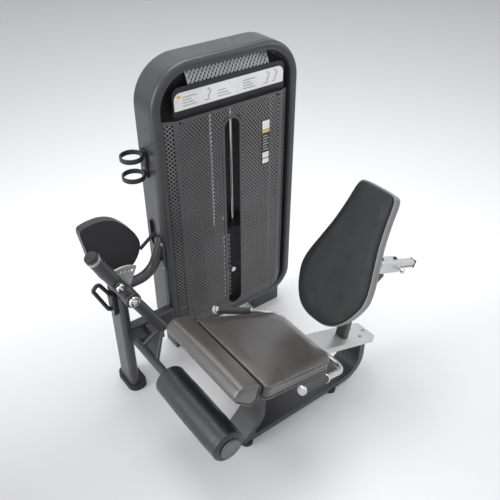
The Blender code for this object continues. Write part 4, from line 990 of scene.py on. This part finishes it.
def make_cam():
    outline = cam_outline()
    low, high = CAM_Y
    bore = circle((PIVOT.x, PIVOT.z), SHAFT_BORE, 48)
    web = side_plate("cam_web", [grown(outline, -0.004), bore], low + 0.0015, high - 0.0015, edge=0.001)
    rim = side_plate("cam_rim", [outline, grown(outline, -0.007)], low, high, edge=0.0025, segments=4)
    hub = turned("cam_hub", [(SHAFT_BORE, 0.0), (0.0290, 0.0), (0.0300, 0.001), (0.0300, 0.039),
                             (0.0290, 0.040), (SHAFT_BORE, 0.040)], on_pivot(high), TO_Y)
    dress(web, "cam_paint", "cam")
    dress(rim, "cam_paint", "cam", stands_for="cam")
    dress(hub, "cam_paint", "cam")
    dress(rod("cam_axle", on_pivot(0.1935), on_pivot(high), 0.0150, 0.001), "steel",
          "cam", stands_for="cam_shaft")
    hex_nut("cam_nut", on_pivot(high), (0, 1, 0), 0.014, "steel", "cam")
    make_sector()


def make_sector():
    """Plate with the row of holes that sets where the lever starts."""
    outer = PIN_RADIUS + 0.022
    first = math.pi / 2 + LEAN + math.radians(9)
    last = math.pi / 2 + LEAN - 5 * HOLE_STEP - math.radians(6)
    centre = (PIVOT.x, PIVOT.z)
    loop = arc(centre, outer, first, last, 40) + [(PIVOT.x + 0.026, PIVOT.z + 0.004)]
    loop += arc(centre, 0.028, 0, -math.pi, 20) + [(PIVOT.x - 0.030, PIVOT.z + 0.030)]
    holes = [circle(centre, SHAFT_BORE, 48)]
    for i in range(6):
        angle = math.pi / 2 + LEAN - i * HOLE_STEP
        place = (PIVOT.x + PIN_RADIUS * math.cos(angle), PIVOT.z + PIN_RADIUS * math.sin(angle))
        holes.append(circle(place, 0.0070, 24))
    low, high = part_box("range_sector")
    sector = side_plate("sector_plate", [loop] + holes, low.y, high.y, edge=0.0010, segments=2)
    dress(sector, "plated", "cam", stands_for="range_sector")


def make_lever():
    counter = rod("counter_tube", lever_point(0.290), lever_point(-0.020), 0.0290, 0.0015, sides=96)
    hub = rod("hub_boss", on_pivot(0.1950), on_pivot(0.2760), 0.0340, 0.0015, sides=96)
    notch = box("notch_tool", (-0.021, -0.08, 0.070), (0.08, -0.0130, 0.135),
                place=Matrix.Translation(PIVOT) @ Matrix.Rotation(-LEAN, 4, "Y"))
    spot = lever_point(PIN_RADIUS)
    tools = [notch, rod("hub_tool", on_pivot(0.15), on_pivot(0.30), SHAFT_BORE),
             rod("pin_tool", (spot.x, 0.17, spot.z), (spot.x, 0.30, spot.z), 0.0066, sides=32)]
    carve(counter, [hub], "UNION")
    dress(carve(counter, tools), "frame_paint", "lever", stands_for="counterweight_arm")
    cap = [(0.0, 0.0120), (0.021, 0.0120), (0.0262, 0.0100), (0.0280, 0.0060), (0.0280, 0.0), (0.0, 0.0)]
    up = (lever_point(1) - lever_point(0)).normalized()
    dress(turned("counter_cap", cap, lever_point(0.2903), toward(up), 96), "black_plastic", "lever",
          stands_for="counterweight_cap")
    band = [(0.0292, 0.0), (0.0302, 0.001), (0.0302, 0.012), (0.0292, 0.013)]
    dress(turned("counter_band", band, lever_point(0.268), toward(up), 96), "steel", "lever")
    boss = [(0.0, 0.010), (0.014, 0.010), (0.0205, 0.0092), (0.0250, 0.0068), (0.0260, 0.0040),
            (0.0260, 0.0), (0.0, 0.0)]
    dress(turned("pivot_button", boss, on_pivot(0.1930), TO_Y), "chrome", "lever",
          stands_for="pivot_cap")
    line = (KNEE - PIVOT).normalized()
    arm = rod("arm_tube", PIVOT + line * 0.040, KNEE + line * 0.004, 0.0260, 0.0015, sides=64)
    clear = rod("arm_tool", lever_point(0.3), lever_point(-0.0203), 0.0293, sides=96)
    hub_clear = rod("hub_clear", on_pivot(0.15), on_pivot(0.30), 0.0343, sides=96)
    dress(carve(arm, [clear, hub_clear]), "frame_paint", "lever", stands_for="lower_arm")
    make_yoke()
    knob = [(0.0, 0.030), (0.010, 0.030), (0.0160, 0.0288), (0.0183, 0.0255), (0.0185, 0.0230),
            (0.0185, 0.0150), (0.0175, 0.0120), (0.013, 0.0070), (0.0090, 0.0045), (0.0062, 0.004),
            (0.0062, -0.0550), (0.0, -0.0562)]
    dress(turned("range_knob", knob, (spot.x, PIVOT.y - 0.0130, spot.z), TO_Y), "chrome", "range_pin",
          stands_for="range_pin")
    collar = [(0.0068, 0.0), (0.0125, 0.0), (0.0125, 0.0030), (0.0115, 0.0038), (0.0068, 0.0038)]
    dress(turned("range_collar", collar, (spot.x, PIVOT.y - 0.0130, spot.z), TO_Y, 32), "steel", "lever")


def make_yoke():
    near, far = Vector((AXLE.x, 0.110, AXLE.z)), Vector((AXLE.x, 0.238, AXLE.z))
    bar = rod("yoke_far", KNEE, far + (KNEE - far).normalized() * 0.012, 0.0125, 0.001)
    brace = rod("yoke_near", KNEE, near + (KNEE - near).normalized() * 0.012, 0.0110, 0.001)
    dress(gather("yoke_bars", [bar, brace]), "frame_paint", "lever")
    middle = Vector((AXLE.x, PIVOT.y, AXLE.z))
    along = (middle - KNEE).normalized()
    reach = (middle - KNEE).length - 0.017
    across = along.cross(Vector((0, 1, 0)))
    place = Matrix(((along.x, 0, across.x, KNEE.x), (along.y, 1, across.y, KNEE.y),
                    (along.z, 0, across.z, KNEE.z), (0, 0, 0, 1)))
    web = plate("yoke_web", [[(0.02, 0), (reach, 0.003), (reach, near.y - PIVOT.y + 0.004)]], 0.006, place,
                edge=0.001, segments=2)
    dress(web, "frame_paint", "lever")


def make_roller():
    low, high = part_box("roller_pad")
    near, far = -low.y, -high.y
    axle = [(0.0, near + 0.006), (0.0125, near + 0.006), (0.0125, far - 0.002), (0.0175, far - 0.002),
            (0.0190, far - 0.0035), (0.0190, -0.2835), (0.0175, -0.285), (0.0, -0.285)]
    dress(turned("axle_bar", axle, AXLE, TO_Y), "frame_paint", "lever", stands_for="roller_axle")
    core = [(0.0129, near), (0.0205, near), (0.0205, far), (0.0129, far)]
    dress(turned("core_tube", core, AXLE, TO_Y), "black_plastic", "roller", stands_for="roller_core")
    radius = (high.x - low.x) / 2
    edge = 0.014
    profile = [(0.0208, near - 0.001)]
    quarter = [(edge * math.sin(t * math.pi / 16), edge * math.cos(t * math.pi / 16)) for t in range(9)]
    profile += [(radius - edge + a, near - edge + b) for a, b in quarter]
    count = 44
    for i in range(1, count):
        y = near - edge - (near - far - 2 * edge) * i / count
        seam = min(abs(y - near + 0.030), abs(y - far - 0.030))
        dip = 0.0013 * math.exp(-(seam / 0.0035) ** 2)
        profile.append((radius - dip + 0.0012 * math.sin(math.pi * i / count), y))
    profile += [(radius - edge + b, far + edge - a) for a, b in quarter]
    profile.append((0.0208, far + 0.001))
    pad = turned("roller_cushion", profile, AXLE, TO_Y, 128)
    for vertex in pad.data.vertices:
        away = Vector((vertex.co.x - AXLE.x, 0, vertex.co.z - AXLE.z))
        if away.length > radius - 0.004:
            swell = noise.noise(vertex.co * 16) * 0.0011 + noise.noise(vertex.co * 55) * 0.0003
            vertex.co += away.normalized() * swell
    dress(pad, "roller_skin", "roller", stands_for="roller_pad", soft=True)
    hub = [(0.0, 0.0072), (0.0290, 0.0072), (0.0305, 0.0078), (0.0315, 0.0090), (0.0400, 0.0090),
           (0.0430, 0.0078), (0.0440, 0.0050), (0.0440, 0.0), (0.0185, 0.0), (0.0185, 0.0066),
           (0.0, 0.0066)]
    dress(turned("roller_end", hub, (AXLE.x, low.y - 0.0003, AXLE.z), TO_Y, 96), "hub_plastic", "roller",
          stands_for="roller_hub")


# ---------------------------------------------------------------- upholstery
def stuff(obj, pressure, growth, floor_z):
    """Swell a closed pad as stuffing does, while its underside stays flat on its board."""
    shape = obj.modifiers.new("cells", "REMESH")
    shape.mode = "VOXEL"
    shape.voxel_size = PAD_VOXEL
    settle(obj)
    start = [(vertex.co.copy(), vertex.normal.copy()) for vertex in obj.data.vertices]
    cloth = obj.modifiers.new("swell", "CLOTH")
    cloth.settings.quality = 4
    cloth.settings.use_pressure = True
    cloth.settings.uniform_pressure_force = pressure
    cloth.settings.effector_weights.gravity = 0
    for number in range(1, CLOTH_FRAMES + 1):
        scene.frame_set(number)
    settle(obj)
    scene.frame_set(1)
    for vertex, (before, outward) in zip(obj.data.vertices, start):
        rise = (vertex.co - before).dot(outward)
        vertex.co = before + outward * min(max(rise, 0.0) * SWELL_SHARE, growth)
        vertex.co.z = max(vertex.co.z, floor_z)
    even = obj.modifiers.new("even", "SMOOTH")
    even.factor = 0.5
    even.iterations = 10
    fine = obj.modifiers.new("fine", "SUBSURF")
    fine.levels = 1
    fine.render_levels = 1
    return settle(obj)


def side_groove(obj, height, width, depth):
    """Pull a sewn seam in round the side of a pad, at one height."""
    for vertex in obj.data.vertices:
        flat = Vector((vertex.normal.x, vertex.normal.y, 0))
        if flat.length > 0.4:
            vertex.co -= flat * depth * math.exp(-((vertex.co.z - height) / width) ** 2)


def dense(loop, step):
    """More points along a closed outline, no further apart than step."""
    points = []
    for a, b in zip(loop, loop[1:] + loop[:1]):
        a, b = Vector(a), Vector(b)
        count = max(1, math.ceil((b - a).length / step))
        points += [tuple(a.lerp(b, i / count)) for i in range(count)]
    return points


def welt(name, loop, height, radius, place, look, body="frame"):
    """Piping sewn round a pad."""
    points = [place @ Vector((x, y, height)) for x, y in dense(loop, 0.008)]
    return dress(tube(name, points, radius, 4, cyclic=True), look, body)


def seat_frame():
    return Matrix.Translation(SEAT_FRONT) @ Matrix.Rotation(SEAT_TILT, 4, "Y")


def back_frame():
    up = Vector((math.sin(BACK_TILT), 0, math.cos(BACK_TILT)))
    front = Vector((-math.cos(BACK_TILT), 0, math.sin(BACK_TILT)))
    return Matrix.Translation(BACK_BOTTOM) @ Matrix((
        (0, up.x, front.x, 0), (-1, up.y, front.y, 0), (0, up.z, front.z, 0), (0, 0, 0, 1)))


def slider_frame():
    return Matrix.Translation(SLIDER_END) @ Matrix.Rotation(SLIDER_TILT, 4, "Y")


def seat_outline(inset=0.0, steps=12):
    front, rear = 0.248 - inset, 0.190 - inset
    corners = [(inset, -front), (SEAT_LENGTH - inset, -rear), (SEAT_LENGTH - inset, rear), (inset, front)]
    return rounded(corners, [0.020, 0.060, 0.060, 0.020], steps)


def back_outline(inset=0.0, steps=8):
    right = [(0.0, 0.0), (0.062, 0.006), (0.115, 0.034), (0.158, 0.090), (0.1880, 0.170), (0.1840, 0.240),
             (0.159, 0.329), (0.1330, 0.420), (0.1150, 0.515), (0.1040, 0.595), (0.088, 0.626),
             (0.050, 0.632)]
    left = [(-x, y) for x, y in right[:0:-1]]
    ring = smooth_closed(right + [(0.0, 0.633)] + left, steps)
    return grown(ring, -inset)


def pad_body(name, outline, low, high, edge):
    """The slack cover of a pad, drawn in its own frame, before it is stuffed."""
    return plate(name, [outline], high - low, Matrix.Translation((0, 0, (low + high) / 2)), edge=edge,
                 segments=3)


def move_to(obj, place):
    obj.data.transform(place)
    return obj


def make_seat_pad():
    place = seat_frame()
    pad = pad_body("seat_cushion", seat_outline(0.004), -SEAT_THICK, -0.010, 0.018)
    stuff(pad, 4.0, 0.012, -SEAT_THICK)
    side_groove(pad, -0.036, 0.0030, 0.0022)
    dress(move_to(pad, place), "leather", stands_for="seat_pad", soft=True)
    welt("seat_welt", seat_outline(0.002), -SEAT_THICK + 0.004, 0.0028, place, "leather")
    board = plate("seat_base_board", [seat_outline(0.010)], 0.0070,
                  place @ Matrix.Translation((0, 0, -SEAT_THICK - 0.0038)), edge=0.002, segments=3)
    dress(board, "black_plastic", stands_for="seat_board")


def make_thigh_pad():
    """Front cushion, drawn from the side and stuffed, over its bracket."""
    outline = rounded([(-0.3835, 0.5745), (-0.4795, 0.6070), (-0.5190, 0.5638), (-0.4420, 0.4925),
                       (-0.4105, 0.4985)], [0.016, 0.028, 0.022, 0.012, 0.012], 12)
    low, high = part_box("thigh_pad")
    pad = side_plate("thigh_cushion", [outline], low.y + 0.006, high.y - 0.006, edge=0.010, segments=3)
    stuff(pad, 4.0, 0.009, -1.0)
    front_face = seat_frame().inverted()
    for vertex in pad.data.vertices:
        inside = front_face @ vertex.co
        if inside.x > -0.0015 and inside.z > -0.09:
            inside.x = -0.0015
            vertex.co = seat_frame() @ inside
    dress(pad, "leather", stands_for="thigh_pad", soft=True)
    for y, side in ((low.y + 0.006, "near"), (high.y - 0.006, "far")):
        points = [Vector((x, y, z)) for x, z in dense(grown(outline, -0.004), 0.008)]
        dress(tube("thigh_welt_" + side, points, 0.0026, 4, cyclic=True), "leather")
    bracket = rounded([(-0.4920, 0.5330), (-0.4425, 0.4860), (-0.4120, 0.4915), (-0.318, 0.4530),
                       (-0.318, 0.400), (-0.420, 0.440)], [0.004, 0.004, 0.004, 0.004, 0.004, 0.03], 6)
    bracket = side_plate("thigh_support", [bracket], SEAT_Y - 0.075, SEAT_Y + 0.075, edge=0.002, segments=3)
    rail_end = box("rail_end_tool", (0.0747, -0.2, -0.3), (0.3, 0.2, 0.1), place=seat_frame())
    dress(carve(bracket, [rail_end]), "frame_paint", stands_for="thigh_bracket")


def make_back():
    place = back_frame()
    pad = pad_body("back_cushion", back_outline(0.004), -BACK_THICK, -0.005, 0.008)
    stuff(pad, 2.0, 0.006, -BACK_THICK)
    dress(move_to(pad, place), "back_leather", "back_rest", stands_for="back_pad", soft=True)
    # painted light: the band and the tray take a grey lightened to stand for the light on the pad's sides
    band = plate("back_band", [back_outline(-0.0005), back_outline(0.008)], 0.020,
                 place @ Matrix.Translation((0, 0, -0.0250)), edge=0.003, segments=4)
    dress(band, "trim", "back_rest")
    middle = -BACK_THICK - 0.0003 - SHELL_THICK / 2
    shell = plate("back_tray", [back_outline(0.005)], SHELL_THICK,
                  place @ Matrix.Translation((0, 0, middle)), edge=0.004, segments=5)
    dress(shell, "trim", "back_rest", stands_for="back_shell")
    bracket = box("back_bracket", (-0.045, 0.150, middle - 0.0205), (0.045, 0.300, middle - 0.0083), 0.003,
                  place=place)
    dress(bracket, "silver_paint", "back_rest")
    down = -(place.to_3x3() @ Vector((0, 0, 1)))
    for i, (x, y) in enumerate(((-0.030, 0.168), (0.030, 0.168), (-0.030, 0.282), (0.030, 0.282))):
        bolt(f"back_bolt_{i}", place @ Vector((x, y, middle - 0.0205)), down, 0.0060, "steel", "back_rest")
    for i, (x, y) in enumerate(((-0.10, 0.10), (0.10, 0.10), (-0.07, 0.50), (0.07, 0.50))):
        bolt(f"tray_screw_{i}", place @ Vector((x, y, middle - 0.0080)), down, 0.0050, "black_plastic",
             "back_rest")


def make_slider():
    rail = slider_frame()
    half = SLIDER_HALF
    bar = box("slide_bar", (-SLIDER_LENGTH, -half, -half), (-0.004, half, half), 0.012, 7, place=rail)
    tools = [rod(f"slide_tool_{i}", rail @ Vector((-0.020 - i * 0.0185, -0.05, -0.006)),
                 rail @ Vector((-0.020 - i * 0.0185, 0.05, -0.006)), 0.0060, sides=24) for i in range(6)]
    tools.append(box("tray_tool", (-0.3, -0.3, -0.0683), (0.3, 0.9, 0.3), place=back_frame()))
    dress(carve(bar, tools), "silver_paint", "back_rest", stands_for="back_slider")
    cap = box("slide_end_cap", (-0.0045, -half + 0.0005, -half + 0.0005), (0, half - 0.0005, half - 0.0005),
              0.003, place=rail)
    dress(cap, "black_plastic", "back_rest")


def make_mast():
    rail = slider_frame()
    outer, inner = 0.030, SLIDER_HALF + 0.0012
    path = rounded([(0.262, 0.262), (0.300, 0.470), (0.470, 0.568)], 0.10, 20, closed=False)
    mast = side_plate("mast_tube", [strip(path, 0.040)], SEAT_Y - 0.028, SEAT_Y + 0.028, edge=0.010,
                      segments=5)
    tools = [box("rail_tool", (-0.3, -0.3, -0.5), (1.2, 0.3, -RAIL_TOP + 0.0003), place=seat_frame()),
             box("mast_tool", (-0.40, -inner, -inner), (-0.05, inner, inner), place=rail)]
    dress(carve(mast, tools), "frame_paint", stands_for="back_mast")
    sleeve = box("slide_sleeve", (-0.290, -outer, -outer), (-0.132, outer, outer), 0.007, 5, place=rail)
    channel = box("sleeve_tool", (-0.40, -inner, -inner), (-0.05, inner, inner), place=rail)
    dress(carve(sleeve, [channel]), "silver_paint")
    up = rail.to_3x3() @ Vector((0, 0, 1))
    for x in (-0.160, -0.262):
        hex_nut(f"sleeve_bolt_{int(-x * 1000)}", rail @ Vector((x, 0, outer)), up, 0.0080, "black_plastic")
    knob = [(0.0, 0.034), (0.007, 0.034), (0.0115, 0.0325), (0.0130, 0.0290), (0.0130, 0.0175),
            (0.0115, 0.0150), (0.007, 0.0120), (0.007, 0.002), (0.0045, 0.0), (0.0045, -0.0080),
            (0.0, -0.0085)]
    spot = rail @ Vector((-0.1495, -outer - 0.0010, -0.006))
    dress(turned("pop_knob", knob, spot, TO_Y, 48), "chrome", "pop_pin", stands_for="pop_pin")


# ---------------------------------------------------------------- seat base, rail and handles
def make_seat_base():
    outline = rounded([(-0.270, 0.46), (-0.270, 0.130), (-0.350, 0.050), (-0.350, BASE_LOW),
                       (0.367, BASE_LOW), (0.367, 0.30), (0.335, 0.30), (0.335, 0.052), (-0.312, 0.052),
                       (-0.238, 0.125), (-0.238, 0.46)],
                      [0, 0.12, 0.025, 0.010, 0.125, 0, 0, 0.095, 0.012, 0.09, 0], 20)
    base = side_plate("base_tube", [outline], SEAT_Y - BASE_HALF, SEAT_Y + BASE_HALF, edge=0.010,
                      segments=5)
    tool = box("rail_tool", (-0.3, -0.3, -RAIL_TOP - RAIL_THICK - 0.0003), (1.2, 0.3, 0.4),
               place=seat_frame())
    dress(carve(base, [tool]), "frame_paint", stands_for="seat_base")
    for name in ("front_foot", "rear_foot"):
        rubber_foot(name + "_pad", name, 0.0275, 16, 0.004)


def make_rail():
    place = seat_frame() @ Matrix.Translation((0, 0, -RAIL_TOP - RAIL_THICK / 2))
    outline = rectangle((0.075, -0.062), (0.890, 0.062), (0.012, 0.016, 0.016, 0.012), 12)
    rail = plate("rail_beam", [outline], RAIL_THICK, place, edge=0.008, segments=5)
    dress(rail, "silver_paint", stands_for="seat_rail")
    up = place.to_3x3() @ Vector((0, 0, 1))
    for i, (x, y) in enumerate(((0.800, -0.036), (0.800, 0.036), (0.862, 0.0))):
        bolt(f"rail_bolt_{i}", place @ Vector((x, y, RAIL_THICK / 2)), up, 0.0065)


def handle_points(side, steps=24):
    inner = Vector((0.050, SEAT_Y + side * 0.002, 0.3665))
    corner = Vector((0.052, SEAT_Y + side * 0.222, 0.374))
    tip = Vector((-0.250, SEAT_Y + side * 0.288, 0.511))
    reach = 0.055
    start = corner + (inner - corner).normalized() * reach
    end = corner + (tip - corner).normalized() * reach
    bend = []
    for step in range(steps + 1):
        t = step / steps
        bend.append(start * (1 - t) ** 2 + corner * 2 * t * (1 - t) + end * t ** 2)
    return [inner] + bend + [tip]


def make_handles():
    for side, name in ((-1, "left"), (1, "right")):
        points = handle_points(side)
        tip = points[-1]
        along = (points[-1] - points[-2]).normalized()
        dress(tube("bar_" + name, points, 0.0125), "satin", stands_for="handle_" + name)
        length = 0.170
        profile = [(0.0128, 0.0), (0.0155, 0.0), (0.0168, 0.0015)]
        ribs = 34
        for i in range(ribs):
            z = 0.004 + (length - 0.008) * i / ribs
            pitch = (length - 0.008) / ribs
            profile += [(0.0168, z), (0.0168, z + pitch * 0.55), (0.0159, z + pitch * 0.68),
                        (0.0159, z + pitch * 0.88)]
        profile += [(0.0168, length - 0.0015), (0.0155, length), (0.0128, length)]
        dress(turned("sleeve_" + name, profile, tip - along * 0.180, toward(along), 48), "grip",
              stands_for="grip_" + name)
        ring = [(0.0128, 0.0), (0.0178, 0.0), (0.0190, 0.0015), (0.0190, 0.0065), (0.0178, 0.0080),
                (0.0128, 0.0080)]
        dress(turned("grip_ring_" + name, ring, tip - along * 0.1885, toward(along), 48), "chrome")
        cap = [(0.0, 0.0120), (0.0165, 0.0120), (0.0188, 0.0108), (0.0200, 0.0085), (0.0200, 0.0010),
               (0.0190, 0.0), (0.0, 0.0)]
        dress(turned("grip_end_" + name, cap, tip - along * 0.0095, toward(along), 48), "satin")


# ---------------------------------------------------------------- what stays as packed
def dress_packed():
    """CAD pieces whose shape is right take the finished materials."""
    for name in ("stack_base", "pulley_bridge", "idler_bracket", "drive_belt", "cam_belt", "stack_belt"):
        obj = frame["nodes"][name]
        look = next(part["material_slot"] for part in frame["record"]["subparts"] if part["node"] == name)
        obj.data.materials.clear()
        obj.data.materials.append(LOOKS[look])


# ---------------------------------------------------------------- studio
def make_floor():
    """White floor with two painted soft shadows beside the machine and painted shade that darkens it slowly
    towards the rim.
    """
    work = bmesh.new()
    bmesh.ops.create_grid(work, x_segments=2, y_segments=2, size=60)
    floor = from_bmesh("studio_floor", work)
    made = bpy.data.materials.new("studio_floor")
    made.use_nodes = True
    tree = made.node_tree
    where = node(tree, "ShaderNodeTexCoord")
    shade = None
    # painted shadows and shade: each entry darkens the floor colour round a centre, two soft shadows beside
    # the machine and shade growing towards the rim
    for centre, start, end, darkest in (((-1.50, 0.02, 0), 0.0, 1.70, 0.45),
                                        ((0.90, -1.70, 0), 0.0, 1.90, 0.72),
                                        ((0.0, 0.0, 0), 8.5, 1.6, 0.52)):
        spread = node(tree, "ShaderNodeVectorMath", operation="DISTANCE")
        spread.inputs[1].default_value = centre
        tree.links.new(where.outputs["Object"], spread.inputs[0])
        level = remap(tree, spread.outputs["Value"], darkest, 1.0, start, end)
        if shade:
            both = node(tree, "ShaderNodeMath", operation="MULTIPLY")
            tree.links.new(shade, both.inputs[0])
            tree.links.new(level, both.inputs[1])
            level = both.outputs["Value"]
        shade = level
    colour = tint(tree, shade, (0.0, 0.0, 0.0), (0.89, 0.89, 0.90))
    shader = tree.nodes["Principled BSDF"]
    tree.links.new(colour, shader.inputs["Base Color"])
    shader.inputs["Roughness"].default_value = 0.55
    floor.data.materials.append(made)


def area_light(name, place, target, size, power, colour=(1, 1, 1)):
    data = bpy.data.lights.new(name, "AREA")
    data.shape = "RECTANGLE"
    data.size, data.size_y = size
    data.energy = power
    data.color = colour
    obj = bpy.data.objects.new(name, data)
    obj.location = place
    obj.rotation_euler = (Vector(target) - Vector(place)).to_track_quat("-Z", "Y").to_euler()
    scene.collection.objects.link(obj)


def make_studio():
    make_floor()
    world = bpy.data.worlds.new("studio")
    world.use_nodes = True
    world.node_tree.nodes["Background"].inputs["Color"].default_value = (0.97, 0.98, 1.0, 1)
    world.node_tree.nodes["Background"].inputs["Strength"].default_value = 0.84
    scene.world = world
    area_light("overhead", (0.2, 1.0, 3.6), (0, 0, 0.5), (2.2, 2.2), 48)
    area_light("left", (-3.2, 0.6, 2.0), (-0.2, 0, 0.7), (1.2, 2.4), 55)
    area_light("right", (2.8, -1.6, 2.2), (0.1, 0, 0.6), (1.6, 2.0), 18)
    scene.view_settings.view_transform = "Standard"
    data = bpy.data.cameras.new("camera")
    data.lens = 45.1
    camera = bpy.data.objects.new("camera", data)
    camera.location = (-1.37, -1.665, 2.33426)
    camera.rotation_euler = (math.radians(90 - 36.178), 0, math.radians(-37.2487))
    scene.collection.objects.link(camera)
    scene.camera = camera


make_studio()
make_tower()
make_shroud()
make_covers()
make_stack()
make_pulleys()
make_cup_holder()
make_post()
make_brace()
make_beams()
make_cam()
make_lever()
make_roller()
make_seat_base()
make_rail()
make_seat_pad()
make_thigh_pad()
make_handles()
make_back()
make_slider()
make_mast()
dress_packed()
